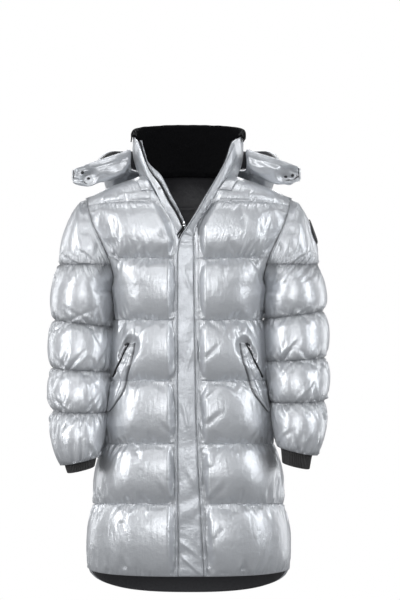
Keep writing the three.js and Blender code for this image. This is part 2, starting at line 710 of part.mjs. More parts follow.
// Wind flap: a strip behind the zip, up the inside of the right lapel
const WIND_WIDTH = [10, 14, 20, 24, 24, 15, 5]; // past the lapel's edge, from the end of the zip up
const WIND_BEHIND = TAPE_BEHIND + ZIP_THICK + 1.4;
const WIND_THICK = 3;
function windFlap(stand) {
  const [inner, outer] = [WIND_BEHIND + WIND_THICK, WIND_BEHIND].map((depth) => [
    ...ZIP_ROWS.map((z, k) => flatRow(z, -34, 14 - 2 * k, 3, -depth)),
    ...lapelStations(stand, "right").map((place, k) =>
      [TAPE_UNDER, 1, -TAPE_SHOWS.right, -WIND_WIDTH[k]].map((inwards) => place(inwards, -depth)),
    ),
  ]);
  return wall(outer, inner);
}

// Fleece inside the collar
const FLEECE_THICK = 3.5;
const FLEECE_FIRST = 7;
function collarFleece(stand) {
  const cut = (g) => g.slice(FLEECE_FIRST, g.length - FLEECE_FIRST).map((row) => row.slice(1));
  return wall(cut(stand.offset(-WALL - GAP)), cut(stand.offset(-WALL - GAP - FLEECE_THICK)));
}

// Lining of the back
const LINING_THICK = 2;
const LINING_GAP = 1; // behind the back, where the fill is soft
function backLining(back) {
  const rows = innerRows(back.outer.length).filter((i) => i < BODY_ROWS.length);
  const columns = [...Array(back.count).keys()].map((j) => 2 * j + 1);
  const at = (d) =>
    rows.map((i) => columns.map((j) => back.grid[i][j].clone().addScaledVector(back.out[i][j], d)));
  return wall(at(-WALL - LINING_GAP), at(-WALL - LINING_GAP - LINING_THICK));
}

// Hood, lying down round the collar like a bent canoe: its inner rim, its outer rim and its keel
// for the right half, from the middle of the back to the wing's tip
const HOOD = table("station inX inY inZ outX outY outZ keelZ sag fill", [
  [0, 0, 101, 30, 0, 218, 92, -205, 44, 0.28],
  [1, 48, 98, 28, 70, 212, 90, -195, 42, 0.28],
  [2, 92, 74, 22, 140, 182, 86, -140, 40, 0.25],
  [3, 124, 34, 20, 192, 126, 82, -50, 34, 0.2],
  [4, 138, -20, 26, 222, 62, 76, 8, 18, 0.14],
  [5, 146, -62, 62, 236, 18, 70, 10, 8, 0.08],
  [6, 188, -66, 46, 250, -12, 54, 2, 4, 0.05],
  [7, 236, -62, 30, 264, -32, 34, -2, 2, 0.04],
  [8, 268, -56, 22, 276, -42, 24, 10, 0, 0.04],
]);
const HOOD_TIP = { right: { reach: 1, lift: 0 }, left: { reach: 0.96, lift: 5 } };
const HOOD_STEPS = 10;
const HOOD_STATIONS = 13; // each half
const HOOD_WALL = 5;

function hoodPoint(side, station, turn) {
  const col = (name) => read(HOOD, name, station);
  const a = turn * Math.PI;
  const [inner, outer] = [V(col("inX"), col("inY"), col("inZ")), V(col("outX"), col("outY"), col("outZ"))];
  const down = Math.sin(a) ** 0.75;
  const along = (1 - Math.cos(a) * (1 + col("fill") * Math.sin(a))) / 2;
  const p = mix(inner, outer, along);
  const level = p.clone().setZ(0);
  const aside = outer.clone().sub(inner).setZ(0).normalize();
  p.addScaledVector(aside, col("sag") * down ** 0.6);
  p.z = p.z + (col("keelZ") - p.z) * down;
  const { reach, lift } = HOOD_TIP[side];
  const wing = smooth((station - 4) / 4);
  p.x *= 1 + (reach - 1) * wing;
  p.z += lift * wing;
  return p;
}
const eased = (t) => t - 0.07 * Math.sin(2 * Math.PI * t); // closer steps round the keel
function hoodGrid() {
  const rows = [];
  for (let k = -HOOD_STATIONS; k <= HOOD_STATIONS; k++) {
    const station = (8 * Math.abs(k)) / HOOD_STATIONS;
    const [side, sign] = k < 0 ? ["right", -1] : ["left", 1];
    const turns = steps(HOOD_STEPS).map((j) => eased(j / HOOD_STEPS));
    rows.push(turns.map((t) => turned(hoodPoint(side, station, t), sign)));
  }
  return rows;
}
// Moves points out of a padded panel until they lie clear of it
function restOn(grid, panels, clear) {
  const skins = panels.flatMap(({ outer, out, sign = 1 }) =>
    outer.flatMap((row, i) => row.map((p, j) => ({ p: turned(p, sign), n: turned(out[i][j], sign) }))),
  );
  for (const row of grid)
    for (const p of row)
      for (let turn = 0; turn < 4; turn++) {
        let nearest = skins[0];
        for (const s of skins) if (s.p.distanceToSquared(p) < nearest.p.distanceToSquared(p)) nearest = s;
        const depth = p.clone().sub(nearest.p).dot(nearest.n);
        if (depth < clear) p.addScaledVector(nearest.n, clear - depth);
      }
}
const HOOD_CLEAR = 18;
function hood(panels) {
  const grid = hoodGrid();
  restOn(grid, panels, HOOD_CLEAR);
  let out = normals(grid);
  if (out[HOOD_STATIONS][HOOD_STEPS - 2].y < 0) out = flipped(out);
  const at = (d) => grid.map((row, i) => row.map((p, j) => p.clone().addScaledVector(out[i][j], d)));
  return { grid, out, at };
}

// Pockets: a leaf-shaped welt between its seam and the zip, by height, on the +X side
const WELT = table("z inner outer", [
  [-550, 184, 188],
  [-534, 171, 184],
  [-505, 150, 179],
  [-493, 144, 178],
  [-463, 136, 165],
  [-432, 126, 150],
  [-405, 120, 137],
  [-388, 118, 129],
]);
const POCKET_SHIFT = { right: 5, left: 0 };
const WELT_LIFT = [2.6, 6.5];
const TAPE_LIFT = [1.6, 2.8];
const POCKET_ZIP_WIDTH = 6;
const ZIP_BESIDE = 1.4;
const ZIP_END = -470;

// A point of a front's padded outside at some x and height, with the way out of it
function onFront(front, x, z) {
  let key = z;
  let found;
  for (let turn = 0; turn < 8; turn++) {
    const i = BODY_ROWS.findIndex((r) => r >= key) - 1;
    const t = (key - BODY_ROWS[i]) / (BODY_ROWS[i + 1] - BODY_ROWS[i]);
    const blend = (set, j) => mix(set[i][j], set[i + 1][j], t);
    let j = 0;
    while (j < FRONT_COLUMNS - 1 && blend(front.outer, j + 1).x < x) j++;
    const [a, b] = [blend(front.outer, j), blend(front.outer, j + 1)];
    const s = THREE.MathUtils.clamp((x - a.x) / (b.x - a.x), 0, 1);
    found = { point: mix(a, b, s), out: mix(blend(front.out, j), blend(front.out, j + 1), s).normalize() };
    key += z - found.point.z;
  }
  return found;
}
const POCKET_STEPS = 14;
const SHIFT_OVER = 120; // the shift grows over this height from the pocket's lower end
const pocketShift = (side, z) => POCKET_SHIFT[side] * smooth((z - WELT.rows[0].z) / SHIFT_OVER);
function pocketSheet(front, side, edges, lift, columns, low = WELT.rows[0].z) {
  const high = WELT.rows[WELT.rows.length - 1].z;
  const grids = lift.map((d) =>
    steps(POCKET_STEPS).map((k) => {
      const z = mixed(low, high, k / POCKET_STEPS);
      const [from, to] = edges(z);
      return steps(columns).map((c) => {
        const x = mixed(from, to, c / columns) + pocketShift(side, z);
        const { point, out } = onFront(front, x, z);
        return point.addScaledVector(out, d);
      });
    }),
  );
  return wall(grids[1], grids[0]);
}
const weltEdges = (z) => [read(WELT, "inner", z), read(WELT, "outer", z)];
const zipEdges = (z) => [ZIP_BESIDE, ZIP_BESIDE + POCKET_ZIP_WIDTH].map((d) => read(WELT, "outer", z) + d);

// The pocket's slider and its pull, drawn flat and set on the zip
const SLIDER = { length: 11, height: 2.4, width: 4, hinge: 4.6, eye: 1.45, ring: 2.7 };
const PULL = {
  length: 38, thick: 1.6, head: 7.4, neck: 3.4, bar: 0.75, window: 3.6, windowWide: 4.9, end: 10, rim: 2.2,
};
function sliderGeometry() {
  const { length, height, width, hinge, eye, ring } = SLIDER;
  const foot = Math.sqrt(ring ** 2 - (hinge - height) ** 2);
  const low = Math.asin((height - hinge) / ring);
  const outline = new THREE.Shape();
  outline.moveTo(-length / 2, 0);
  outline.lineTo(length / 2, 0);
  outline.lineTo(length / 2, height * 0.6);
  outline.lineTo(length / 2 - 1, height);
  outline.lineTo(foot, height);
  outline.absarc(0, hinge, ring, low, Math.PI - low, false);
  outline.lineTo(-length / 2 + 1, height);
  outline.lineTo(-length / 2, height * 0.6);
  const hole = new THREE.Path();
  hole.absarc(0, hinge, eye, 0, Math.PI * 2, true);
  outline.holes.push(hole);
  const settings = { depth: width, bevelEnabled: false, curveSegments: 6 };
  return new THREE.ExtrudeGeometry(outline, settings).translate(0, 0, -width / 2);
}
function pullGeometry() {
  const { length, thick, head, neck, bar, window, windowWide, end, rim } = PULL;
  const outline = new THREE.Shape();
  const half = [[-bar, head / 2], [window + 1, head / 2], [window + 4, neck / 2], [length - end, neck / 2],
    [length - end, end / 2], [length, end / 2]];
  half.forEach(([x, y], i) => (i ? outline.lineTo(x, y) : outline.moveTo(x, y)));
  [...half].reverse().forEach(([x, y]) => outline.lineTo(x, -y));
  const box = (x0, x1, y) =>
    new THREE.Path([[x0, -y], [x1, -y], [x1, y], [x0, y]].map(([u, v]) => new THREE.Vector2(u, v)));
  outline.holes.push(box(bar, window, windowWide / 2));
  outline.holes.push(box(length - end + rim, length - rim, end / 2 - rim));
  const settings = { depth: thick, bevelEnabled: false };
  return new THREE.ExtrudeGeometry(outline, settings).translate(0, 0, -thick / 2);
}
const PULL_TILT = radians(5); // rests a little off the cloth
const SLIDER_Z = -392;

// Where the slider sits, with the way down the zip, out of the cloth and across
function sliderFrame(front, side, sign) {
  const x = (z) => read(WELT, "outer", z) + ZIP_BESIDE + POCKET_ZIP_WIDTH / 2 + pocketShift(side, z);
  const at = onFront(front, x(SLIDER_Z), SLIDER_Z);
  const below = onFront(front, x(SLIDER_Z - 40), SLIDER_Z - 40);
  const down = below.point.clone().sub(at.point).normalize();
  const out = at.out.clone().addScaledVector(down, -at.out.dot(down)).normalize();
  const origin = at.point.clone().addScaledVector(out, TAPE_LIFT[1] + 1.2);
  const [o, d, n] = [turned(origin, sign), turned(down, sign), turned(out, sign)];
  return { origin: o, down: d, out: n };
}

// A grid's value between its rows and columns
function between(grid, row, column) {
  const [i, j] = [Math.floor(row), Math.floor(column)];
  const lower = mix(grid[i][j], grid[i][j + 1], column - j);
  const upper = mix(grid[i + 1][j], grid[i + 1][j + 1], column - j);
  return mix(lower, upper, row - i);
}

// Patch on the left upper sleeve: a plain shield
const SHIELD_RINGS = [0.02, 0.35, 0.7, 1];
const SHIELD_TAPER = 0.24; // towards its lower end
const SHIELD = { width: 44, height: 54, inZ: -124, around: -0.1, perAround: 160, lift: [0.8, 2.4] };
function onSleeve(arm, inZ, around) {
  const i = arm.rows.findIndex((r) => r <= inZ) - 1;
  const t = (inZ - arm.rows[i]) / (arm.rows[i + 1] - arm.rows[i]);
  const place = ((around + 1) / 2) * SLEEVE_COLUMNS;
  const at = (set) => between(set, i + t, place);
  return { point: at(arm.outer), out: at(arm.out).normalize() };
}
function shield(arm) {
  const { width, height, inZ, around, perAround, lift } = SHIELD;
  const spokes = 24;
  const reach = (a) => (Math.sin(a) > 0 ? 1 : 1 + SHIELD_TAPER * Math.sin(a) * Math.abs(Math.cos(a)));
  const grids = lift.map((d) =>
    SHIELD_RINGS.map((r) =>
      steps(spokes).map((k) => {
        const a = ((k % spokes) / spokes) * 2 * Math.PI;
        const u = (Math.cos(a) * r * reach(a) * width) / 2;
        const v = (Math.sin(a) * r * height) / 2;
        const { point, out } = onSleeve(arm, inZ + v, around + u / perAround);
        return point.addScaledVector(out, d);
      }),
    ),
  );
  const out = [];
  skin(out, grids[1]);
  const plain = [];
  skin(plain, grids[0]);
  out.push(...plain.map(([a, b, c]) => [a, c, b]));
  const last = grids[0].length - 1;
  for (let k = 1; k <= spokes; k++) {
    quad(out, grids[1][last][k - 1], grids[1][last][k], grids[0][last][k], grids[0][last][k - 1]);
    out.push([grids[1][0][k], grids[1][0][k - 1], grids[1][0][0]]);
    out.push([grids[0][0][k - 1], grids[0][0][k], grids[0][0][0]]);
  }
  return out;
}

// Hood tabs: small straps on the fronts beside the collar, by row and column of the panel
const TAB = { rows: [0.9, 2.1], columns: [0.25, 0.85], lift: [2, 4.2], steps: 3 };
function hoodTab(front) {
  const grids = TAB.lift.map((d) =>
    steps(TAB.steps).map((r) =>
      steps(TAB.steps).map((c) => {
        const row = BODY_ROWS.length - 1 + mixed(...TAB.rows, r / TAB.steps);
        const column = mixed(...TAB.columns, c / TAB.steps);
        const at = (set) => between(set, row, column);
        return at(front.outer).addScaledVector(at(front.out).normalize(), d);
      }),
    ),
  );
  return wall(grids[1], grids[0]);
}

// A small round stud on a point of a surface
const EYELET = { radius: 4, thick: 1.6, places: [V(-252, 0, 12.7), V(-234.5, 0, -4.3)] };
const SNAP = { station: 3, inwards: 7, radius: 3, thick: 1.5 };
function stud(name, at, out, radius, thick, material) {
  const mesh = new THREE.Mesh(new THREE.CylinderGeometry(radius, radius, thick, 16), material);
  mesh.name = name;
  mesh.position.copy(at).addScaledVector(out, thick / 2);
  mesh.quaternion.setFromUnitVectors(V(0, 1, 0), out);
  return mesh;
}

// The coat
const group = new THREE.Group();
const add = (name, triangles, material) => group.add(solid(name, triangles, material));
const fronts = { right: frontPanel("right"), left: frontPanel("left") };
const back = backPanel();
const arms = { right: sleeve("right"), left: sleeve("left") };
const SIDES = [["right", -1], ["left", 1]];

for (const [side, sign] of SIDES) {
  const { outer, inner } = fronts[side];
  add("front_" + side, turnedAll(wall(outer, inner, { kept: innerRows(outer.length) }), sign), SHELL);
  add("sleeve_" + side, turnedAll(wall(arms[side].outer, arms[side].inner, arms[side]), sign), SHELL);
  add("rib_cuff_" + side, turnedAll(knitCuff(side), sign), KNIT);
}
add("back", wall(back.outer, back.inner, { kept: innerRows(back.outer.length) }), SHELL);
add("back_lining", backLining(back), LINING);

const nodes = collarNodes(fronts, back);
const stand = collar(nodes);
add("collar_outer", wall(stand.outer, stand.inner), SHELL);
add("collar_lining", collarFleece(stand), FLEECE);
add("storm_flap", stormFlap(stand), SHELL);
add("wind_flap", windFlap(stand), SHELL);
for (const [side] of SIDES) add("zip_tape_" + side, zipTape(stand, side), TAPE);

const outwards = (front, sign) => ({ ...front, sign });
const hoodSurface = hood([back, outwards(fronts.right, -1), outwards(fronts.left, 1)]);
add("hood_outer", wall(hoodSurface.at(0), hoodSurface.at(-HOOD_WALL)), SHELL);
const underHood = -HOOD_WALL - GAP;
add("hood_lining", wall(hoodSurface.at(underHood), hoodSurface.at(underHood - LINING_THICK)), LINING);

for (const [side, sign] of SIDES) {
  const welt = pocketSheet(fronts[side], side, weltEdges, WELT_LIFT, 4);
  const pocketZip = pocketSheet(fronts[side], side, zipEdges, TAPE_LIFT, 1, ZIP_END);
  add("pocket_welt_" + side, turnedAll(welt, sign), SHELL);
  add("pocket_zip_" + side, turnedAll(pocketZip, sign), TAPE);
  const frame = sliderFrame(fronts[side], side, sign);
  const hinge = frame.origin.clone().addScaledVector(frame.out, SLIDER.hinge);
  const slider = new THREE.Mesh(sliderGeometry(), NICKEL);
  slider.name = "pocket_slider_" + side;
  slider.position.copy(frame.origin);
  slider.quaternion.setFromRotationMatrix(
    new THREE.Matrix4().makeBasis(frame.down, frame.out, frame.down.clone().cross(frame.out)),
  );
  const pull = new THREE.Mesh(pullGeometry(), NICKEL);
  pull.name = "pocket_pull_" + side;
  pull.position.copy(hinge);
  const swing = new THREE.Quaternion().setFromAxisAngle(frame.down.clone().cross(frame.out), PULL_TILT);
  const down = frame.down.clone().applyQuaternion(swing);
  const out = frame.out.clone().applyQuaternion(swing);
  pull.quaternion.setFromRotationMatrix(new THREE.Matrix4().makeBasis(down, out.clone().cross(down), out));
  group.add(slider, pull);
}
add("sleeve_patch", shield(arms.left), PATCH);

for (const [side, sign] of SIDES) {
  add("hood_tab_" + side, turnedAll(hoodTab(fronts[side]), sign), SHELL);
  EYELET.places.forEach((place, k) => {
    let best;
    hoodSurface.grid.forEach((row, i) =>
      row.forEach((p, j) => {
        const out = hoodSurface.out[i][j];
        const miss = Math.hypot(p.x + sign * place.x, p.z - place.z);
        if (out.y < -0.4 && (!best || miss < best.miss)) best = { p, out, miss };
      }),
    );
    const at = best.p.clone().addScaledVector(best.out, GAP);
    group.add(stud(`hood_eyelet_${side}_${k + 1}`, at, best.out, EYELET.radius, EYELET.thick, TAPE));
  });
}
const place = lapelStations(stand, "right")[SNAP.station];
const snapAt = place(SNAP.inwards, GAP);
const snapOut = place(SNAP.inwards, 1).sub(place(SNAP.inwards, 0)).normalize();
group.add(stud("wind_flap_snap", snapAt, snapOut, SNAP.radius, SNAP.thick, NICKEL));

const FRONT_SLIDER = V(ZIP_X - 0.5, -121.4, -111);
const frontSlider = new THREE.Mesh(sliderGeometry(), NICKEL);
frontSlider.name = "front_zip_slider";
frontSlider.position.copy(FRONT_SLIDER);
frontSlider.quaternion.setFromRotationMatrix(
  new THREE.Matrix4().makeBasis(V(0, 0, -1), FORWARD, V(0, 0, -1).cross(FORWARD)),
);
group.add(frontSlider);

export default group;
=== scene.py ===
# %% [markdown]
# # A long puffer coat
# This file builds a quilted, hooded coat on top of its CAD frame. Cloth walls are grids of points: a
# plain surface first, then the puff of the fill, a short cloth simulation, and folds.
# Everything is worked out in millimetres, with -Y the way the wearer faces, and scaled when a mesh is made.

# %% The frame
import math
import time

import bpy
import numpy as np
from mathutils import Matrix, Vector
from mathutils.bvhtree import BVHTree


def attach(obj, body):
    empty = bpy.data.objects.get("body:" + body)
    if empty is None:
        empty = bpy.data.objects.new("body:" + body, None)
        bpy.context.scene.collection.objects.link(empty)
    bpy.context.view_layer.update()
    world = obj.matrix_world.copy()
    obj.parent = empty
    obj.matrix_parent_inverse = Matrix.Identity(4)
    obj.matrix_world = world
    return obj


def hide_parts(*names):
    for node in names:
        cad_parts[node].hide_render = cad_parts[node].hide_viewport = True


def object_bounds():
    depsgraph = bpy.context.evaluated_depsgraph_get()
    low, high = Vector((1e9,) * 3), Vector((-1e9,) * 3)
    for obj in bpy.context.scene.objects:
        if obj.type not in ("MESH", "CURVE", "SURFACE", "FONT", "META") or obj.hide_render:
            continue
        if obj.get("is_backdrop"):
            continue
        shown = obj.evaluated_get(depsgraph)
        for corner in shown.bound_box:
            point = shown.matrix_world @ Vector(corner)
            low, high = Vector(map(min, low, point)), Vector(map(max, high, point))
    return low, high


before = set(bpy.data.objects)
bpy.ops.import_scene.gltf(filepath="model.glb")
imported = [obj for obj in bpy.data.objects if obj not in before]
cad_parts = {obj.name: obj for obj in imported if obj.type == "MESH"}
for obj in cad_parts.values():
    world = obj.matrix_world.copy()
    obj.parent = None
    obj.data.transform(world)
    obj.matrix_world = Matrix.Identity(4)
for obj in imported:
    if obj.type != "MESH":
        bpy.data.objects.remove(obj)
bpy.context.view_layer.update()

# %% [markdown]
# ## Sizes
# A coat is easiest to keep true when its sizes sit in a few tables. Each row of `BODY` is one height of
# the body, and a smooth curve through the rows gives every height between them. The curve never
# overshoots its rows, so a waist stays a waist.

# %% Tables and how they are read
def table(columns, *rows):
    data = np.array(sorted(rows), float)
    return dict(zip(columns.split(), data.T))


def read(tab, column, at):
    keys, values = next(iter(tab.values())), tab[column]
    at = np.clip(at, keys[0], keys[-1])
    i = np.clip(np.searchsorted(keys, at) - 1, 0, len(keys) - 2)
    step = np.diff(keys)
    slope = np.diff(values) / step
    before, after = slope[:-1], slope[1:]
    both = np.where(before * after > 0, before + after, 1)
    middle = np.where(before * after > 0, 2 * before * after / both, 0)
    tangent = np.concatenate([slope[:1], middle, slope[-1:]])
    s = (at - keys[i]) / step[i]
    from_values = values[i] * (2 * s**3 - 3 * s**2 + 1) + values[i + 1] * (3 * s**2 - 2 * s**3)
    from_tangents = tangent[i] * (s**3 - 2 * s**2 + s) + tangent[i + 1] * (s**3 - s**2)
    return from_values + step[i] * from_tangents


print("between its rows", read(table("key value", (0, 0), (10, 5)), "value", 4.0))

# %% The coat's sizes in millimetres
BODY = table(
    "z zFront zBack half frontY backY sideY turn",
    (-928, -928, -1014, 238, -146, 150, 0, 90),
    (-778, -760, -772, 224, -142, 146, 0, 90),
    (-634, -621, -628, 201, -137, 140, 0, 90),
    (-482, -475, -480, 183, -133, 130, -1, 90),
    (-336, -334, -336, 171, -131, 126, -3, 90),
    (-266, -264, -266, 179, -130, 129, -5, 90),
    (-186, -191, -191, 184, -127, 130, -5, 82),
    (-110, -107, -110, 184, -119, 126, -5, 70),
    (-66, -57, -57, 184, -112, 118, -5, 62),
)
SLEEVE = table(
    "inZ outX outZ inX midY depth turn lift",
    (-44, 242, -44, 242, 8, 30, 90, 0),
    (-66, 260, -66, 239, 4, 52, 92, 0),
    (-110, 281, -116, 224, 0, 84, 98, 0),
    (-160, 297, -166, 200, -1, 94, 108, 0),
    (-205, 306, -204, 182, -2, 96, 122, 0),
    (-235, 311, -240, 177, -3, 95, 148, 0),
    (-266, 314, -268, 180, -5, 93, 180, 0),
    (-352, 318, -335, 185, -16, 84, 180, 20),
    (-456, 320, -449, 190, -38, 79, 180, 24),
    (-552, 317, -550, 199, -62, 72, 180, 24),
    (-655, 297, -675, 210, -86, 58, 180, 23),
)
BODY_SEAMS = [-928, -778, -634, -482, -336, -186, -66]
SLEEVE_SEAMS = [-655, -552, -456, -352, -205, -44]
LAPEL_EDGE = table(
    "z right left",
    (-1100, 16, 4.4),
    (-165, 16, 4.4),
    (-131, 29, 12),
    (-104, 38, 22),
    (-79, 53, 38),
    (-57, 66, 50),
)
FLAT_EDGE = table(
    "z right left", (-928, 31, 46), (-740, 31, 36), (-590, 31, 29), (-334, 31, 24), (-57, 31, 24)
)
WALL = 4
BOXINESS = 2.55
BODY_PUFF, SIDE_PUFF, YOKE_PUFF, YOKE_LEAST = 22, 11, 0.35, 0.25
SLEEVE_PUFF, INNER_SLEEVE_PUFF = 14, 7
ARMPIT_Z, WAIST_END = -266, -600
SIDES = {"right": -1, "left": 1}
print("body", int(np.ptp(BODY["z"])), "mm from the yoke to the hem")

# %% [markdown]
# ## The surface of the body
# Seen from above, a quarter of the body is a rounded square. A panel is a grid of such quarters: a row
# for each height, and over the shoulder a few rows that bend back towards the neck. numpy works out a
# whole grid at once, which keeps the code short and quick.

# %% Small helpers
def xyz(x, y, z):
    return np.stack(np.broadcast_arrays(x, y, z), axis=-1).astype(float)


def mix(a, b, t):
    return a + (b - a) * t


def smooth(t):
    t = np.clip(t, 0, 1)
    return t * t * (3 - 2 * t)


def unit(v):
    return v / np.maximum(np.linalg.norm(v, axis=-1, keepdims=True), 1e-9)


print("eased quarter", smooth(0.25))

# %% Points of the body
def quarter(angle):
    s, c = np.sin(angle), np.cos(angle)
    r = (np.abs(s) ** BOXINESS + np.abs(c) ** BOXINESS) ** (-1 / BOXINESS)
    return r * s, r * c


def armhole(face, z):
    reach = read(SLEEVE, "depth", z) * np.sin(np.radians(read(SLEEVE, "turn", z)))
    return xyz(read(SLEEVE, "inX", z), read(SLEEVE, "midY", z) + face * reach, z)


def body_point(face, z, around):
    turn = np.radians(read(BODY, "turn", z))
    across, depth = quarter(around * turn)
    across_end, depth_end = quarter(turn)
    left = (depth - depth_end) / (1 - depth_end)
    below = np.asarray(z) < ARMPIT_Z
    arm = armhole(face, z)
    end_x = np.where(below, read(BODY, "half", z), arm[..., 0])
    end_y = np.where(below, read(BODY, "sideY", z), arm[..., 1])
    middle_y = read(BODY, "frontY" if face < 0 else "backY", z)
    middle_z = read(BODY, "zFront" if face < 0 else "zBack", z)
    return xyz(end_x * across / across_end, mix(end_y, middle_y, left), mix(z, middle_z, left))


def edge_around(z, edge_x):
    low, high = np.zeros_like(z), np.ones_like(z)
    for _ in range(30):
        middle = (low + high) / 2
        inside = body_point(-1, z, middle)[..., 0] < edge_x
        low, high = np.where(inside, middle, low), np.where(inside, high, middle)
    return low


print("front of the waist", body_point(-1, -334.0, 0.0).round(1))

# %% Rows of points
def rows_between(seams, per_channel):
    # closer rows near the seams, where the cloth turns in
    t = np.arange(per_channel) / per_channel
    t = mix(t, (1 - np.cos(np.pi * t)) / 2, 0.75)
    pairs = zip(seams[:-1], seams[1:])
    return np.concatenate([*(mix(a, b, t) for a, b in pairs), [seams[-1]]])


NECK_SIDE = np.array([115, -10, 5.0])
SHOULDER = np.array([242, 8, -44.0])
YOKE_STEPS = np.linspace(0, 1, 21)[1:]
BODY_ROWS = rows_between(BODY_SEAMS, 34)
print(len(BODY_ROWS), "rows up to the yoke,", len(YOKE_STEPS), "over the shoulder")

# %% Panels as grids
def yoke_seam(face, step):
    on_curve = armhole(face, np.interp(step, [0, 0.25, 0.5, 0.75], [-66, -58, -51, -44]))
    return mix(on_curve, SHOULDER, np.clip((step - 0.75) / 0.25, 0, 1)[..., None])


def panel(face, columns, start, top):
    z = BODY_ROWS[:, None]
    lower = body_point(face, z, mix(start[:, None], 1, columns))
    yoke = lower[-1]
    step = YOKE_STEPS[:, None]
    upper = xyz(
        mix(yoke[:, 0], top[:, 0], step),
        mix(yoke[:, 1], top[:, 1], 1 - np.cos(step * np.pi / 2)),
        mix(yoke[:, 2], top[:, 2], np.sin(step * np.pi / 2)),
    )
    miss = yoke_seam(face, YOKE_STEPS) - upper[:, -1]
    upper += miss[:, None] * (np.linspace(0, 1, len(columns)) ** 3)[None, :, None]
    return np.concatenate([lower, upper])


def normals(grid, closed=False):
    along = np.gradient(grid, axis=1)
    if closed:
        along[:, 0] = along[:, -1] = grid[:, 1] - grid[:, -2]
    return unit(np.cross(along, np.gradient(grid, axis=0)))

# %% [markdown]
# ## From grids to meshes
# Real cloth has a thickness, so a cloth wall has an outer grid and an inner one, joined round the edges
# into one closed body. Each face carries the number of its skin, so that the inside can have a material
# of its own. Each point also keeps its place in the cloth, for the weave, and how near a seam it is,
# which the shell turns into crinkle and painted shade in seams and creases.

# %% Meshes
MM = 0.001
OUTSIDE, INSIDE = 0, 1
made = {}


def finish_mesh(name, points, faces, slots, mirrored=False):
    mesh = bpy.data.meshes.new(name)
    points = points * MM
    if mirrored:
        points = points * (-1, 1, 1)
        faces = [face[::-1] for face in faces]
    mesh.from_pydata(points.tolist(), [], faces)
    mesh.polygons.foreach_set("material_index", slots)
    mesh.polygons.foreach_set("use_smooth", [True] * len(faces))
    mesh.update()
    piece = bpy.data.objects.new(name, mesh)
    bpy.context.collection.objects.link(piece)
    made[name] = piece
    return piece


def quads(index, flip):
    a, b, c, d = index[:-1, :-1], index[:-1, 1:], index[1:, 1:], index[1:, :-1]
    order = (a, d, c, b) if flip else (a, b, c, d)
    return np.stack(order, axis=-1).reshape(-1, 4)

# %% Cloth walls
def cloth_map(grid):
    """Each point's place in its own cloth, in metres, from the mean spacing of the grid."""
    v = np.linalg.norm(np.diff(grid, axis=0), axis=2).mean(axis=1)
    u = np.linalg.norm(np.diff(grid, axis=1), axis=2).mean(axis=0)
    v, u = (np.concatenate([[0], np.cumsum(step)]) * MM for step in (v, u))
    return np.stack(np.meshgrid(u, v), axis=-1)


def wall(name, outer, inner, closed=False, mirrored=False, seam=None):
    """A closed body between two grids. seam is 1 on a seam, for crinkle and light painted shade, and 2 where
    a crease gets dark painted shade.
    """
    rows, columns = outer.shape[:2]
    outer_index = np.arange(rows * columns).reshape(rows, columns)
    inner_index = rows * columns + outer_index
    if closed:
        outer_index[:, -1] = outer_index[:, 0]
        inner_index[:, -1] = inner_index[:, 0]
    points = np.concatenate([outer.reshape(-1, 3), inner.reshape(-1, 3)])
    skins = [(quads(outer_index, False), OUTSIDE), (quads(inner_index, True), INSIDE)]
    rims = [np.stack([inner_index[0], outer_index[0]]), np.stack([outer_index[-1], inner_index[-1]])]
    if not closed:
        rims.append(np.stack([outer_index[:, 0], inner_index[:, 0]]))
        rims.append(np.stack([inner_index[:, -1], outer_index[:, -1]]))
    skins += [(quads(rim, False), OUTSIDE) for rim in rims]
    faces = [face.tolist() for skin, _ in skins for face in skin]
    slots = np.concatenate([np.full(len(skin), slot) for skin, slot in skins])
    piece = finish_mesh(name, points, faces, slots, mirrored)
    corners = np.empty(len(piece.data.loops), np.int32)
    piece.data.loops.foreach_get("vertex_index", corners)
    places = np.tile(cloth_map(outer).reshape(-1, 2), (2, 1)).astype(np.float32)
    piece.data.uv_layers.new(name="cloth").data.foreach_set("uv", places[corners].reshape(-1))
    nearness_and_shade = np.zeros(outer.shape[:2]) if seam is None else np.broadcast_to(seam, outer.shape[:2])
    values = np.concatenate([nearness_and_shade.reshape(-1), np.zeros(inner[..., 0].size)])
    # the seam attribute holds seam nearness and painted shade for the shell's shader
    layer = piece.data.attributes.new("seam", "FLOAT", "POINT")
    layer.data.foreach_set("value", values.astype(np.float32))
    return piece

# %% [markdown]
# ## Puff
# Fill pushes each channel out between its seams, which the `pillow` curve gives. A short cloth
# simulation then makes it uneven: the seams are pinned, the cloth is let out by a few per cent, and air
# pressure holds it up. It runs on every second point, to be quick, and its movement is capped, so that
# no point can fly off.

# %% Puff
PUFF_SHAPE = 0.7


def pillow(f):
    return np.maximum(4 * f * (1 - f), 1e-9) ** PUFF_SHAPE


def fullness(seams, z):
    seams = np.array(sorted(seams))
    i = np.clip(np.searchsorted(seams, z) - 1, 0, len(seams) - 2)
    return pillow(np.clip((z - seams[i]) / (seams[i + 1] - seams[i]), 0, 1))


print("full in the middle of a channel", fullness(BODY_SEAMS, -261.0).round(2))

# %% A short cloth simulation
SIM_FRAMES = 20
LET_OUT = 0.03  # how much longer the cloth is than its seams
CAP = 4.0  # the furthest that a point may move


def coarser(grid):
    """Every second row and column, with the last ones kept."""
    rows, columns = (np.union1d(np.arange(0, count, 2), [count - 1]) for count in grid.shape[:2])
    return grid[np.ix_(rows, columns)], rows, columns


def finer(step, rows, columns):
    """A coarse grid's movement, spread evenly over all rows and columns."""
    for axis, keys in ((0, rows), (1, columns)):
        at = np.arange(keys[-1] + 1)
        i = np.clip(np.searchsorted(keys, at, side="right") - 1, 0, len(keys) - 2)
        s = (at - keys[i]) / (keys[i + 1] - keys[i])
        s = s.reshape([-1 if k == axis else 1 for k in range(step.ndim)])
        step = mix(np.take(step, i, axis), np.take(step, i + 1, axis), s)
    return step


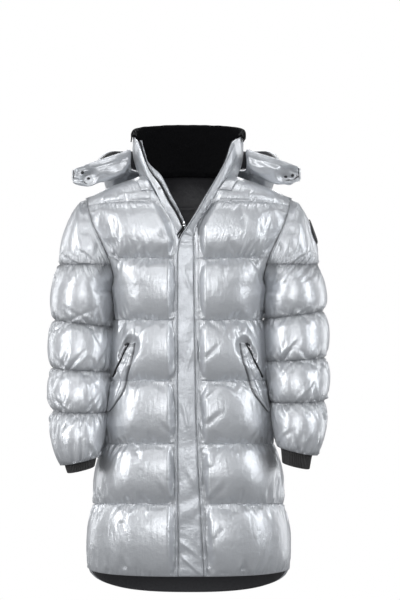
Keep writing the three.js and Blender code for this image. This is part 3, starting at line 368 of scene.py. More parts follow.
def billow(name, fine_grid, fine_pinned):
    """The grid after a short cloth simulation. fine_pinned is 1 where it is held, 0 where it is free."""
    started = time.time()
    grid, rows, columns = coarser(fine_grid)
    pinned = coarser(fine_pinned)[0]
    index = np.arange(pinned.size).reshape(pinned.shape)
    faces = quads(index, False).tolist()
    piece = finish_mesh(name + "_sim", grid.reshape(-1, 3), faces, [0] * len(faces))
    group = piece.vertex_groups.new(name="held")
    weights = pinned.reshape(-1)
    for weight in np.unique(weights.round(2)):
        if weight > 0:
            group.add(np.flatnonzero(weights.round(2) == weight).tolist(), float(weight), "REPLACE")
    cloth = piece.modifiers.new("cloth", "CLOTH")
    settings = cloth.settings
    settings.quality = 5
    settings.mass = 0.2
    settings.tension_stiffness = settings.compression_stiffness = 30
    settings.shear_stiffness = 4
    settings.bending_stiffness = 0.5
    settings.vertex_group_mass = "held"
    settings.shrink_min = -LET_OUT
    settings.use_pressure = True
    settings.uniform_pressure_force = 1.0
    settings.effector_weights.gravity = 0
    cloth.point_cache.frame_end = SIM_FRAMES + 1
    for frame_number in range(1, SIM_FRAMES + 2):
        bpy.context.scene.frame_set(frame_number)
    evaluated = piece.evaluated_get(bpy.context.evaluated_depsgraph_get())
    flat = np.empty(len(evaluated.data.vertices) * 3, np.float32)
    evaluated.data.vertices.foreach_get("co", flat)
    moved = flat.reshape(grid.shape) / MM
    bpy.context.scene.frame_set(1)
    made.pop(piece.name)
    bpy.data.objects.remove(piece)
    step = moved - grid
    length = np.linalg.norm(step, axis=-1, keepdims=True)
    step = step / np.maximum(length, 1e-6) * CAP * np.tanh(length / CAP)
    print(f"{time.time() - started:.1f} s", name, "moved", round(float(length.mean()), 1), "mm on average")
    return fine_grid + finer(step, rows, columns)

# %% [markdown]
# ## Folds
# Quilting has more cloth than room along a seam, so the cloth gathers there. A fold is a line with a
# groove along it and a low ridge beside the groove, deepest near its first end. Gathers are short
# random folds that start on a seam. Drawing them costs far less than a simulation fine enough to find
# them, and the same number always gives the same folds.

# %% Folds and gathers
RIDGE_BESIDE, RIDGE_SHARE = 1.4, 0.55


def folded(at, folds):
    """Height of folds at places in a plane. A fold has two ends, a half width and a depth."""
    total = np.zeros(at.shape[:-1])
    for x0, y0, x1, y1, width, depth in folds:
        run = np.array([x1 - x0, y1 - y0], float)
        length = np.linalg.norm(run)
        run = run / length
        beside = np.array([-run[1], run[0]])
        along = ((at - (x0, y0)) @ run) / length
        across = ((at - (x0, y0)) @ beside) / width
        runs_out = smooth(along / 0.14) * np.clip(1 - along, 0, 1) ** 1.1
        ridge = RIDGE_SHARE * np.exp(-((across - RIDGE_BESIDE) ** 2))
        total += depth * runs_out * (ridge - np.exp(-(across**2)))
    return total


def gathers(seams, ends, count, seed, lengths, depths, lean=0.35, crowd=1.0):
    """Random folds up and down from each seam. A crowd above 1 puts more of them at its far end."""
    random = np.random.default_rng(seed)
    folds = []
    for seam in seams:
        start, end = ends(seam)
        for way in (-1, 1):
            for _ in range(count):
                u = mix(start, end, random.random() ** (1 / crowd))
                length = random.uniform(*lengths)
                aside = length * random.normal(0.15, lean)
                width = random.uniform(2.6, 5.2)
                folds.append((u, seam, u + aside, seam + way * length, width, random.uniform(*depths)))
    return folds


def own_places(grid, rows):
    """Each point's distance along its row from the row's start, and the row's own height."""
    steps = np.linalg.norm(np.diff(grid, axis=1), axis=2)
    along = np.concatenate([np.zeros((len(grid), 1)), np.cumsum(steps, axis=1)], axis=1)
    return np.stack(np.broadcast_arrays(along, rows[:, None]), axis=-1)


def press(grid, outer, out, height):
    """Adds a height along the way out, but never pushes the cloth through the surface it is sewn to."""
    puff = ((outer - grid) * out).sum(-1)
    return outer + out * np.maximum(height, 0.3 - puff)[..., None]

# %% [markdown]
# ## Fronts and back
# Both fronts are made on the wearer's left and the right one is mirrored. The back is one panel. Near
# the front edge, the armhole and the side seam the puff runs out, as it does where layers are sewn
# together.

# %% The puff of the body
FRONT_FADE, ARMHOLE_FADE, SIDE_FADE = 18, 55, 16
ARMHOLE_END = -300
YOKE_SEAM_Z = -57.0


def body_puff(z, full, from_front, from_side, sideways):
    towards_side = smooth((sideways - 0.6) / 0.4)
    at_side = np.where(z > ARMHOLE_END, smooth(from_side / ARMHOLE_FADE), smooth((from_side + 9) / SIDE_FADE))
    fade = smooth(from_front / FRONT_FADE) * at_side
    full = mix(full, 1, 0.5 * towards_side * (z < ARMPIT_Z) * (z > WAIST_END))
    return mix(BODY_PUFF, SIDE_PUFF, towards_side) * full * fade


def heights(face):
    upper = np.full(len(YOKE_STEPS), YOKE_SEAM_Z)
    return np.concatenate([read(BODY, "zFront" if face < 0 else "zBack", BODY_ROWS), upper])


def puffed(grid, face, from_front, from_side):
    z = np.concatenate([BODY_ROWS, np.zeros(len(YOKE_STEPS))])[:, None]
    below = np.maximum(fullness(BODY_SEAMS, BODY_ROWS), YOKE_LEAST * smooth((BODY_ROWS + 90) / 24))
    above = YOKE_PUFF * pillow(YOKE_STEPS) + YOKE_LEAST * (1 - YOKE_STEPS)
    full = np.concatenate([below, above])[:, None]
    out = normals(grid)
    if out[40, grid.shape[1] // 2, 1] * face < 0:
        out = -out
    puff = body_puff(z, full, from_front, from_side, np.abs(grid[..., 0]) / np.abs(grid[:, -1:, 0]))
    return grid + out * puff[..., None], out


def seam_rows():
    held = np.isin(np.round(BODY_ROWS), BODY_SEAMS).astype(float)
    return np.concatenate([held, np.zeros(len(YOKE_STEPS))])

# %% [markdown]
# ## The folds that the photograph shows
# Besides the gathers, the coat has a few longer folds where it is stretched over the wearer. Each has a
# row of its own, since they are what makes this coat look like the one in the photograph. The pockets'
# metal parts are the CAD's own and stay where they are, so the cloth behind them is pressed in.

# %% Long folds, and cloth behind the metal
STRETCH_DEPTH = 1.7
STRETCHES = {
    # ends of each fold across and up, half width, depth
    "left": [
        (35, -330, 86, -367, 6, 3.0), (35, -427, 77, -381, 5, 2.0), (33, -659, 60, -618, 5, 3.0),
        (33, -771, 92, -705, 7, 4.5), (35, -682, 77, -664, 5, 2.0), (35, -836, 64, -771, 6, 3.6),
        (40, -863, 84, -810, 6, 2.2), (35, -525, 80, -480, 6, 3.2), (38, -578, 88, -538, 6, 2.6),
        (121, -915, 129, -880, 5, 6.0), (114, -308, 119, -388, 5, 3.4), (108, -358, 117, -430, 5, 3.0),
        (86, -482, 128, -520, 5, 3.6), (98, -482, 146, -524, 5, 3.0), (112, -482, 156, -514, 4, 2.6),
    ],
    "right": [
        (32, -771, 78, -700, 6, 3.8), (34, -752, 92, -744, 5, 2.0), (36, -604, 68, -566, 5, 2.8),
        (34, -392, 50, -355, 4, 1.6), (34, -300, 54, -242, 4, 1.8), (140, -912, 151, -876, 5, 6.0),
        (148, -328, 143, -384, 5, 3.4), (120, -356, 128, -434, 5, 3.0), (34, -460, 62, -500, 5, 2.2),
        (150, -800, 128, -856, 8, 3.4),
    ],
}
# how far behind the metal cloth stays, how far beside it, and how soon it comes forward again
METAL_CLEAR, METAL_BESIDE, METAL_SPREAD, METAL_REACH = 3.6, 3, 22, 70


def clear_metal(grid, names, facing_front, sign=1):
    """Presses cloth in behind small metal parts of the CAD, which lie on its front."""
    nodes = [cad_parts[name] for name in names]
    ends = np.array([
        [node.matrix_world @ node.data.vertices[corner].co for corner in edge.vertices]
        for node in nodes
        for edge in node.data.edges
    ])
    along = np.linspace(0, 1, 7)[None, :, None]
    metal = mix(ends[:, None, 0], ends[:, None, 1], along).reshape(-1, 3) / MM * (sign, 1, 1)
    metal = np.unique(np.round(metal), axis=0)
    points = grid.reshape(-1, 3).copy()
    close = np.abs(points[:, [0, 2]] - metal[:, [0, 2]].mean(0)).max(1) < METAL_REACH
    near = np.flatnonzero(close & facing_front.reshape(-1))
    away = np.linalg.norm(points[near][:, None, [0, 2]] - metal[None, :, [0, 2]], axis=2)
    eased = np.maximum(away - METAL_BESIDE, 0) ** 2 / METAL_SPREAD
    limit = (metal[None, :, 1] + METAL_CLEAR - eased).max(1)
    points[near, 1] = np.maximum(points[near, 1], limit)
    return points.reshape(grid.shape)


print("long folds", {side: len(rows) for side, rows in STRETCHES.items()})

# %% The front panels
FRONT_COLUMNS = 100
FLAT_SIDE = 56  # gathers start this far from the front edge
FRONT_YOKE, BACK_YOKE = 60, 100  # how long the cloth over the shoulder is
SEWN_ROWS = 16  # rows at the neck that the simulation holds
SEAM_FADE = 14


def row_ends(own, rows, first):
    """A function that gives where the gathers of a seam start and end."""

    def ends(seam):
        return first, own[np.argmin(np.abs(rows - seam)), -1, 0]

    return ends


def front_panel(side):
    z = read(BODY, "zFront", BODY_ROWS)
    start = edge_around(BODY_ROWS, read(LAPEL_EDGE, side, z))
    columns = np.linspace(0, 1, FRONT_COLUMNS + 1)
    top = mix(NECK_SIDE, SHOULDER, columns[:, None])
    grid = panel(-1, columns, start, top)
    height = heights(-1)
    flat_to = np.maximum(read(FLAT_EDGE, side, height), read(LAPEL_EDGE, side, height) + 9)[:, None]
    from_side = np.linalg.norm(grid - grid[:, -1:], axis=-1)
    outer, out = puffed(grid, -1, grid[..., 0] - flat_to, from_side)
    pinned = np.maximum(seam_rows()[:, None], (grid[..., 0] < flat_to - 2).astype(float))
    pinned[:, -1] = pinned[[0, -1]] = 1
    pinned[-SEWN_ROWS:] = 1
    outer = billow("front_" + side, outer, pinned)
    rows = np.concatenate([BODY_ROWS, BODY_ROWS[-1] + FRONT_YOKE * YOKE_STEPS])
    own = own_places(grid, rows)
    ends = row_ends(own, rows, FLAT_SIDE)
    seed = {"right": 21, "left": 22}[side]
    height = folded(own, gathers(BODY_SEAMS[:-1], ends, 16, seed, (16, 54), (1.8, 5.2), crowd=2.2))
    height += STRETCH_DEPTH * folded(grid[..., [0, 2]], STRETCHES[side])
    height *= smooth((grid[..., 0] - flat_to) / 7)
    outer = press(grid, outer, out, height)
    metal = ["pocket_slider_" + side, "pocket_pull_" + side]
    outer = clear_metal(outer, metal, np.ones(outer.shape[:2], bool), SIDES[side])
    return {"grid": grid, "outer": outer, "inner": grid - out * WALL, "out": out, "flat_to": flat_to}

# %% The back panel
NECK_BACK = {"y": 88, "z": 22}


def back_panel():
    neck, shoulder = 20, 60  # columns along each
    columns = np.linspace(0, 1, neck + shoulder + 1)
    a = np.linspace(0, math.pi / 2, neck + 1)[:-1]
    side, side_y, side_z = NECK_SIDE
    curve = xyz(
        side * np.sin(a), mix(side_y, NECK_BACK["y"], np.cos(a)), mix(side_z, NECK_BACK["z"], np.cos(a))
    )
    top = np.concatenate([curve, mix(NECK_SIDE, SHOULDER, np.linspace(0, 1, shoulder + 1)[:, None])])
    # the neck is a third of the row's columns in the frame
    where = np.concatenate([np.linspace(0, 1 / 3, neck + 1)[:-1], np.linspace(1 / 3, 1, shoulder + 1)])
    half = panel(1, where, np.zeros_like(BODY_ROWS), top)
    grid = np.concatenate([half[:, :0:-1] * (-1, 1, 1), half], axis=1)
    from_side = np.minimum(
        np.linalg.norm(grid - grid[:, -1:], axis=-1), np.linalg.norm(grid - grid[:, :1], axis=-1)
    )
    outer, out = puffed(grid, 1, np.full(grid.shape[:2], 99.0), from_side)
    pinned = np.repeat(seam_rows()[:, None], grid.shape[1], axis=1)
    pinned[:, [0, -1]] = 1
    pinned[0] = 1
    pinned[-SEWN_ROWS:] = 1
    # the grid runs from right to left seen from behind, so its faces are turned for the simulation
    outer = billow("back", outer[:, ::-1], pinned)[:, ::-1]
    rows = np.concatenate([BODY_ROWS, BODY_ROWS[-1] + BACK_YOKE * YOKE_STEPS])
    own = own_places(grid, rows)
    ends = row_ends(own, rows, 0)
    height = folded(own, gathers(BODY_SEAMS[:-1], ends, 34, 23, (16, 54), (1.8, 5.0)))
    outer = press(grid, outer, out, height * smooth(from_side / SEAM_FADE))
    return {"grid": grid, "outer": outer, "inner": grid - out * WALL, "out": out}

# %% Panels into pieces
fronts = {side: front_panel(side) for side in SIDES}
back = back_panel()
yoke_seam_near = 1 - np.linspace(0.5, 1, len(YOKE_STEPS))
seam_crinkle_and_shade = np.concatenate([1 - fullness(BODY_SEAMS, BODY_ROWS), yoke_seam_near])[:, None]
for side, sign in SIDES.items():
    front = fronts[side]
    from_side = np.linalg.norm(front["grid"] - front["grid"][:, -1:], axis=-1)
    from_flap = front["grid"][..., 0] - front["flat_to"]
    # painted shade: a dark line along the side seam and beside the flap's edge, kept in the seam attribute
    shade = 1.5 * smooth(1 - from_side / SEAM_FADE) + 0.9 * np.exp(-((from_flap / 4) ** 2))
    shade = np.maximum(seam_crinkle_and_shade, shade)
    wall("front_shell_" + side, front["outer"], front["inner"], mirrored=sign < 0, seam=shade)
wall("back_shell", back["outer"][:, ::-1], back["inner"][:, ::-1], seam=seam_crinkle_and_shade)
print("panels", {name: len(o.data.polygons) for name, o in made.items()})

# %% [markdown]
# ## Sleeves
# A sleeve is a stack of leaning rings. Above the armpit the rings are open towards the body, and their
# ends run along the armhole seam.

# %% Sleeves
def sleeve_point(side, in_z, around):
    lift = read(SLEEVE, "lift", in_z) if side == "left" else 0
    turn = np.radians(read(SLEEVE, "turn", in_z))
    angle = around * turn
    arch = (np.cos(angle) - np.cos(turn)) / (1 - np.cos(turn))
    in_x, mid_y = read(SLEEVE, "inX", in_z), read(SLEEVE, "midY", in_z)
    return xyz(
        mix(in_x, read(SLEEVE, "outX", in_z), arch),
        mid_y + np.sin(angle) * read(SLEEVE, "depth", in_z),
        in_z + lift + (read(SLEEVE, "outZ", in_z) - in_z) * arch,
    )

# %% Sleeve panels
SLEEVE_ROWS = rows_between(SLEEVE_SEAMS, 32)[::-1]
SLEEVE_COLUMNS = 120


def sleeve(side):
    z = SLEEVE_ROWS[:, None]
    around = np.linspace(-1, 1, SLEEVE_COLUMNS + 1)
    grid = sleeve_point(side, z, around)
    is_ring = z <= ARMPIT_Z
    out = normals(grid, True)
    if out[-40, SLEEVE_COLUMNS // 2, 0] < 0:
        out = -out
    inside = smooth((np.abs(around) - 0.6) / 0.4)
    below_armpit = smooth((ARMPIT_Z - z) / 60 + 1 - inside)
    from_armhole = smooth((1 - np.abs(around)) / 0.57)
    top = smooth((-44 - z) / 22)
    full = fullness(SLEEVE_SEAMS, SLEEVE_ROWS)[:, None]
    full = mix(full, 1, 0.5 * inside * (z < ARMPIT_Z) * (z > WAIST_END))
    fade = np.where(is_ring, below_armpit, from_armhole)
    puff = mix(SLEEVE_PUFF, INNER_SLEEVE_PUFF, inside) * full * fade * top
    outer = grid + out * puff[..., None]
    seam = np.isin(np.round(SLEEVE_ROWS), SLEEVE_SEAMS).astype(float)[:, None]
    pinned = np.maximum(seam, np.where(is_ring, 0, (np.abs(around) > 0.97).astype(float)))
    pinned = np.broadcast_to(pinned, grid.shape[:2]).copy()
    pinned[[0, -1]] = 1
    outer = billow("sleeve_" + side, outer[::-1], pinned[::-1])[::-1]
    own = own_places(grid, SLEEVE_ROWS)
    ends = row_ends(own, SLEEVE_ROWS, 0)
    seed = {"right": 24, "left": 25}[side]
    height = folded(own, gathers(SLEEVE_SEAMS[:-1], ends, 26, seed, (18, 60), (3.0, 8.5), lean=0.6))
    height += folded(own, gathers(SLEEVE_SEAMS[-1:], ends, 12, seed, (24, 80), (1.4, 3.6), lean=0.3))
    join = smooth(np.minimum(own[..., 0], own[:, -1:, 0] - own[..., 0]) / 12)
    outer = press(grid, outer, out, height * join)
    return {"grid": grid, "outer": outer, "inner": grid - out * WALL, "out": out}

# %% Sleeves into pieces
arms = {side: sleeve(side) for side in SIDES}
for side, sign in SIDES.items():
    arm = arms[side]
    # painted shade: dark creases at the quilting seams, and along the inner side where the sleeve meets the
    # body
    seam_crinkle_and_shade = 1.9 * (1 - fullness(SLEEVE_SEAMS, SLEEVE_ROWS[::-1])[:, None])
    inner_side_shade = 1.5 * smooth((np.abs(np.linspace(-1, 1, SLEEVE_COLUMNS + 1)) - 0.9) / 0.1)
    seam_crinkle_and_shade = np.maximum(seam_crinkle_and_shade, inner_side_shade)
    wall("sleeve_shell_" + side, arm["outer"][::-1], arm["inner"][::-1], mirrored=sign < 0, seam=seam_crinkle_and_shade)
print("sleeve rows", len(SLEEVE_ROWS))

# %% [markdown]
# ## Collar, lapels and the flaps along them
# The collar stands on the neckline of the panels. A few stations are enough: each is a line from the
# neckline to the free edge, and a smooth grid is drawn through them. The flaps and zip tapes follow the
# same stations, at a distance in from the free edge and out of the cloth.

# %% A smooth grid through a coarse one
def refine(grid, rows, columns):
    """A smooth grid with more points through all the points of a coarse one."""

    def along(points, count):
        last = len(points) - 1
        t = np.linspace(0, last, count)
        i = np.clip(t.astype(int), 0, last - 1)
        s = (t - i)[:, None, None]
        before, after = 2 * points[:1] - points[1:2], 2 * points[-1:] - points[-2:-1]
        padded = np.concatenate([before, points, after])
        a, b, c, d = (padded[i + k] for k in range(4))
        squares, cubes = 2 * a - 5 * b + 4 * c - d, 3 * b - a - 3 * c + d
        return 0.5 * (2 * b + (c - a) * s + squares * s**2 + cubes * s**3)

    return along(along(grid, rows).swapaxes(0, 1), columns).swapaxes(0, 1)

# %% Stations of the collar
NECKLINE_Z = np.array([-135, -110, -87, -66])
QUARTERS = [4, 9, 14, 19]
FREE_EDGE = {
    "right": [(15, -125, -119), (32, -122, -84), (50, -117, -55), (67, -110, -20), (91, -97, 14),
              (106, -87, 48), (119, -76, 82), (131, -42, 98)],
    "left": [(-5, -125, -119), (14, -122, -90), (30, -118, -62), (46, -112, -34), (70, -101, 4),
             (88, -91, 42), (104, -80, 82), (124, -44, 98)],
    "neck": [(135, -12, 108), (131, 30, 120), (105, 72, 130), (58, 100, 136), (0, 108, 138)],
}
MIRROR = np.array([-1, 1, 1])


def neckline(side):
    height = read(BODY, "zFront", NECKLINE_Z)
    low = body_point(-1, NECKLINE_Z, edge_around(NECKLINE_Z, read(LAPEL_EDGE, side, height)))
    high = fronts[side]["grid"][[len(BODY_ROWS) + k for k in QUARTERS], 0]
    return np.concatenate([low, high])


def back_neckline():
    top = back["grid"][-1]
    middle = len(top) // 2
    return top[[middle + 5 * k for k in range(-3, 4)]]


neck_edge = np.array(FREE_EDGE["neck"], float)
base = np.concatenate([neckline("right") * MIRROR, back_neckline(), neckline("left")[::-1]])
free = np.concatenate([
    np.array(FREE_EDGE["right"], float) * MIRROR,
    neck_edge[1:] * MIRROR,
    neck_edge[-2:0:-1],
    np.array(FREE_EDGE["left"], float)[::-1],
])
t = np.array([0, 0.12, 0.3, 0.5, 0.7, 0.88, 1])[None, :, None]
from_end = np.minimum(np.arange(len(base)), len(base) - 1 - np.arange(len(base)))
bulge = 9 * smooth((from_end - 2) / 4)
outward = unit(base * (1, 1, 0))
stand = mix(base[:, None], free[:, None], t)
stand = stand + outward[:, None] * bulge[:, None, None] * np.sin(np.pi * t)
stand_out = normals(stand)
if stand_out[len(base) // 2, 3, 1] < 0:
    stand_out = -stand_out


print("collar stations", len(stand))

# %% Lines along the lapels
def lapel(side, inwards, lift):
    """Points in from the free edge of the first seven stations, from the end of the zip up."""
    last = len(stand) - 1
    rows = []
    for k in range(7):
        i = k if side == "right" else last - k
        line, out = stand[i, ::-1], stand_out[i, ::-1]
        reach = np.concatenate([[0], np.cumsum(np.linalg.norm(np.diff(line, axis=0), axis=1))])
        x = np.asarray(inwards[k] if np.ndim(inwards) > 1 else inwards, float)
        at = np.stack([np.interp(x, reach, line[:, a]) for a in range(3)], -1)
        away = unit(np.stack([np.interp(x, reach, out[:, a]) for a in range(3)], -1))
        rows.append(at + np.minimum(x, 0)[:, None] * unit(line[1] - line[0]) + away * lift)
    return np.array(rows)

# %% Thin cloth that is a little uneven
def ripples(grid, size, seed, stretch=(1, 1)):
    """Soft uneven height over a grid, as a sum of waves in many directions."""
    random = np.random.default_rng(seed)
    spacing = [np.linalg.norm(np.diff(grid, axis=axis), axis=2).mean() for axis in (0, 1)]
    v, u = np.meshgrid(*(np.arange(grid.shape[k]) * spacing[k] for k in (0, 1)), indexing="ij")
    height = np.zeros(u.shape)
    for _ in range(14):
        angle, phase = random.uniform(0, 2 * np.pi, 2)
        wave = 2 * np.pi / (size * random.uniform(0.6, 1.7))
        bend = 0.6 * np.sin(0.37 * wave * (u * math.sin(angle) - v * math.cos(angle)) + phase)
        ahead = u * math.cos(angle) * stretch[0] + v * math.sin(angle) * stretch[1]
        height += np.sin(wave * ahead + bend + phase)
    return height / 3.7


def lifted(grid, height, out):
    return grid + out * height[..., None]


def cloth_piece(name, coarse, rows, columns, thick, uneven, size, facing, seed=1, edge=None, seam=None):
    """A thin piece of cloth through a coarse grid. facing is the side its outside looks to."""
    grid = refine(coarse, rows, columns)
    out = normals(grid)
    middle = out[rows // 2, columns // 2]
    if np.dot(middle, facing) < 0:
        grid = grid[:, ::-1]
        out = normals(grid)
    height = uneven * ripples(grid, size, seed)
    if edge:
        height = height + edge(grid)
    outer = lifted(grid, height, out)
    return wall(name, outer, lifted(grid, height - thick, out), seam=seam)

# %% Collar and fleece
FRONTWARD, BACKWARD = (0, -1, 0), (0, 1, 0)
cloth_piece("collar_shell", stand, 200, 40, WALL, 0.5, 46, BACKWARD, 3)


def stand_at(depth):
    return stand + stand_out * depth


# the fleece starts below the neck seam, lines the collar and rolls over its top
fleece_in = stand_at(-WALL - 2.2)
below_neck = fleece_in[:, :1] - (0, 0, 12)
over_top = stand[:, -1:] + (0, 0, 3.4) - stand_out[:, -1:] * WALL / 2
outside = stand_at(3.2)[:, [6, 5]]
fleece_coarse = np.concatenate([below_neck, fleece_in, over_top, outside], axis=1)[7:-7]
cloth_piece("collar_fleece", fleece_coarse, 120, 60, 2.2, 0.4, 20, BACKWARD, 4)
print("collar", {name: len(made[name].data.polygons) for name in made if "collar" in name})

# %% [markdown]
# ## Storm flap, wind flap and zip
# These are flat strips on the flat edge of the fronts, which carry on up the lapels. The storm flap has
# rows of topstitching and a few soft folds where the wearer's step pulls at it.

# %% Strips along the front
ZIP_X = -10
FLAP = table(
    "z left right",
    (-927, -30, 42), (-870, -30, 40), (-800, -30, 35), (-730, -30, 31), (-590, -30, 24),
    (-460, -30, 21), (-334, -30, 19), (-230, -30, 17), (-175, -28, 17), (-145, -21, 15),
)
ZIP_ROWS = np.array([-922, -760, -621, -475, -334, -191, -150.0])
WIND_WIDTH = [10, 14, 20, 24, 24, 15, 5]
TAPE_BEHIND = WALL + 0.8


def flat_rows(z, left, right, count, lift):
    x = mix(np.asarray(left, float)[:, None], np.asarray(right, float)[:, None], np.linspace(0, 1, count + 1))
    z = np.broadcast_to(np.asarray(z, float)[:, None], x.shape)
    key = z.copy()
    for _ in range(8):
        key += z - read(BODY, "zFront", key)
    y = body_point(-1, key, edge_around(key, np.abs(x)))[..., 1]
    return xyz(x, y - lift, z)


def strip(side, z, left, right, inwards, count, lift_flat, lift_lapel):
    return np.concatenate([flat_rows(z, left, right, count, lift_flat), lapel(side, inwards, lift_lapel)])

# %% Storm flap
flap_coarse = strip("left", FLAP["z"], FLAP["left"], FLAP["right"], np.linspace(0, 33, 6), 5, 4.6, 5.1)
FLAP_FOLDS = [
    # x and z of the middle, length, way in degrees, width, height
    (12, -905, 60, -42, 7, 3.2), (2, -862, 70, -38, 9, 2.0), (8, -700, 60, -60, 10, 1.6),
    (-6, -560, 80, -75, 9, 1.4), (4, -420, 60, 72, 8, 1.2), (0, -250, 60, -70, 8, 1.2),
]


FLAP_STITCHES = (0.09, 0.91)
FLAP_COLUMNS = 48
flap_across = np.linspace(0, 1, FLAP_COLUMNS)[None, :]
flap_stitch_groove_and_shade = sum(np.exp(-(((flap_across - at) / 0.024) ** 2)) for at in FLAP_STITCHES)


def flap_height(grid):
    total = np.zeros(grid.shape[:2])
    for x, z, length, way, width, high in FLAP_FOLDS:
        a = math.radians(way)
        dx, dz = grid[..., 0] - x, grid[..., 2] - z
        along = dx * math.cos(a) + dz * math.sin(a)
        across = -dx * math.sin(a) + dz * math.cos(a)
        total += high * np.exp(-((along / (length / 2)) ** 2)) * np.exp(-((across / (width / 2)) ** 2))
    middle = smooth(flap_across * (1 - flap_across) / 0.12)
    return total * middle - 1.6 * flap_stitch_groove_and_shade


# painted shade: the topstitch lines are darkened through the seam attribute
cloth_piece(
    "storm_flap_shell", flap_coarse, 260, FLAP_COLUMNS, 4, 0.6, 45, FRONTWARD, 5,
    flap_height, 2 * flap_stitch_groove_and_shade,
)

# %% Wind flap and zip tapes
wind_inwards = [np.interp([0, 1, 2, 3], [0, 1, 2, 3], [9, 1, -6, -w]) for w in WIND_WIDTH]
wind_lift = -TAPE_BEHIND - 3
wind_coarse = strip(
    "right", ZIP_ROWS, np.full(7, -34.0), 14 - 2 * np.arange(7), wind_inwards, 3, wind_lift, wind_lift
)
cloth_piece("wind_flap_shell", wind_coarse, 200, 16, 3, 0.5, 40, FRONTWARD, 6)
for side, sign in SIDES.items():
    near, far = ZIP_X + sign * 0.15, ZIP_X + sign * 15
    inwards = np.array([{"right": -6, "left": -1}[side], 1, 9])
    ends = np.full(7, near), np.full(7, far)
    tape = strip(side, ZIP_ROWS, *ends, inwards, 2, -TAPE_BEHIND, -TAPE_BEHIND)
    cloth_piece("zip_tape_cloth_" + side, tape, 160, 8, 1.6, 0, 40, FRONTWARD)
print("strips", [name for name in made if "flap" in name or "tape" in name])

# %% [markdown]
# ## Hood
# The hood lies down round the collar like a bent canoe. Each row of `HOOD` is a cut through it: the
# inner rim, the outer rim, how low its keel hangs and how full it is. Points that would lie inside the
# padded back are moved out until they rest on it.

# %% The hood
HOOD = table(
    "station inX inY inZ outX outY outZ keelZ sag fill",
    (0, 0, 101, 30, 0, 218, 92, -205, 44, 0.28),
    (1, 48, 98, 28, 70, 212, 90, -195, 42, 0.28),
    (2, 92, 74, 22, 140, 182, 86, -140, 40, 0.25),
    (3, 124, 34, 20, 192, 126, 82, -50, 34, 0.2),
    (4, 138, -20, 26, 214, 62, 64, 4, 18, 0.14),
    (5, 137, -66, 66, 222, 18, 46, -4, 10, 0.10),
    (6, 188, -70, 50, 240, -12, 36, -14, 8, 0.10),
    (7, 236, -68, 34, 260, -32, 27, -17, 5, 0.08),
    (8, 270, -60, 22, 277, -42, 20, -10, 2, 0.05),
)
HOOD_TIP = {"right": (1, 0), "left": (0.96, 5)}


def hood_half(side, stations):
    station = stations[:, None]
    turn = np.linspace(0, 1, 11)[None, :]
    turn = (turn - 0.07 * np.sin(2 * np.pi * turn)) * np.pi
    col = {name: read(HOOD, name, station) for name in list(HOOD)[1:]}
    inner, outer = (xyz(col[k + "X"], col[k + "Y"], col[k + "Z"]) for k in ("in", "out"))
    down = np.sin(turn) ** 0.75
    along = (1 - np.cos(turn) * (1 + col["fill"] * np.sin(turn))) / 2
    p = mix(inner, outer, along[..., None])
    aside = unit((outer - inner) * (1, 1, 0))
    p = p + aside * (col["sag"] * np.abs(down) ** 0.6)[..., None]
    p[..., 2] = mix(p[..., 2], col["keelZ"], down)
    reach, lift = HOOD_TIP[side]
    wing = smooth((station - 4) / 4)
    p[..., 0] *= 1 + (reach - 1) * wing
    p[..., 2] += lift * wing
    return p * (SIDES[side], 1, 1)

# %% Resting on the padded back
def rest_on(grid, clear):
    skins = [(back["outer"], back["out"])]
    for side, sign in SIDES.items():
        skins.append(tuple(fronts[side][what] * (sign, 1, 1) for what in ("outer", "out")))
    points = np.concatenate([o[::3, ::3].reshape(-1, 3) for o, _ in skins])
    outs = np.concatenate([n[::3, ::3].reshape(-1, 3) for _, n in skins])
    for _ in range(4):
        flat = grid.reshape(-1, 3)
        nearest = np.array([np.argmin(((points - p) ** 2).sum(1)) for p in flat])
        depth = ((flat - points[nearest]) * outs[nearest]).sum(1)
        flat += outs[nearest] * np.maximum(clear - depth, 0)[:, None]
    return grid

# %% Hood pieces
stations = 8 * np.arange(14) / 13
hood_coarse = np.concatenate([hood_half("right", stations)[::-1], hood_half("left", stations)[1:]])
hood_coarse = rest_on(hood_coarse, 16)
HOOD_GRID = refine(hood_coarse, 200, 90)
hood_out = normals(HOOD_GRID)
if hood_out[100, 74, 1] < 0:
    HOOD_GRID = HOOD_GRID[::-1].copy()
    hood_out = normals(HOOD_GRID)
in_front = hood_out[..., 1] < 0
for side in SIDES:
    for which in "12":
        HOOD_GRID = clear_metal(HOOD_GRID, [f"hood_eyelet_{side}_{which}"], in_front)
rim = np.minimum(np.linspace(0, 1, 90), np.linspace(1, 0, 90))[None, :]
creases = ripples(HOOD_GRID, 70, 8) * 1.8 + ripples(HOOD_GRID, 30, 9, (1, 0.4)) * 0.4
channel = -1.2 * np.exp(-(((rim - 0.09) / 0.012) ** 2))
hood_height = creases * smooth(rim / 0.12) + channel
inside = ripples(HOOD_GRID, 34, 10) * 2.2 * smooth(rim / 0.1)
HOOD_SKINS = {
    "hood_shell": (hood_height, hood_height - 5),
    "hood_cloth": (hood_height - 5.3, -7.8 - np.abs(inside)),
}
for name, skins in HOOD_SKINS.items():
    wall(name, *(lifted(HOOD_GRID, skin, hood_out) for skin in skins))
print("hood", len(made["hood_shell"].data.polygons), "faces")

# %% [markdown]
# ## Lining of the back
# The lining hangs just inside the back and shows in the neck and below the front hem. It takes every
# second point of the back's own grid, so it follows the back without a shape of its own.

# %% Lining of the back
upper = len(BODY_ROWS) - 1
lining_grid = back["grid"][:upper:2, 2:-2:2][:, ::-1]
lining_out = back["out"][:upper:2, 2:-2:2][:, ::-1]
lining_height = 0.8 * ripples(lining_grid, 70, 12, (0.4, 1)) - WALL - 1.6
lining_skins = [lifted(lining_grid, height, lining_out) for height in (lining_height, lining_height - 1.6)]
wall("back_lining_cloth", *lining_skins)

# %% [markdown]
# ## Knit cuffs
# A cuff is a tube that starts inside the sleeve's end and is drawn in by the knit. Its ribs are real
# geometry, each a ridge, since a shader can't give the knit its uneven edge.

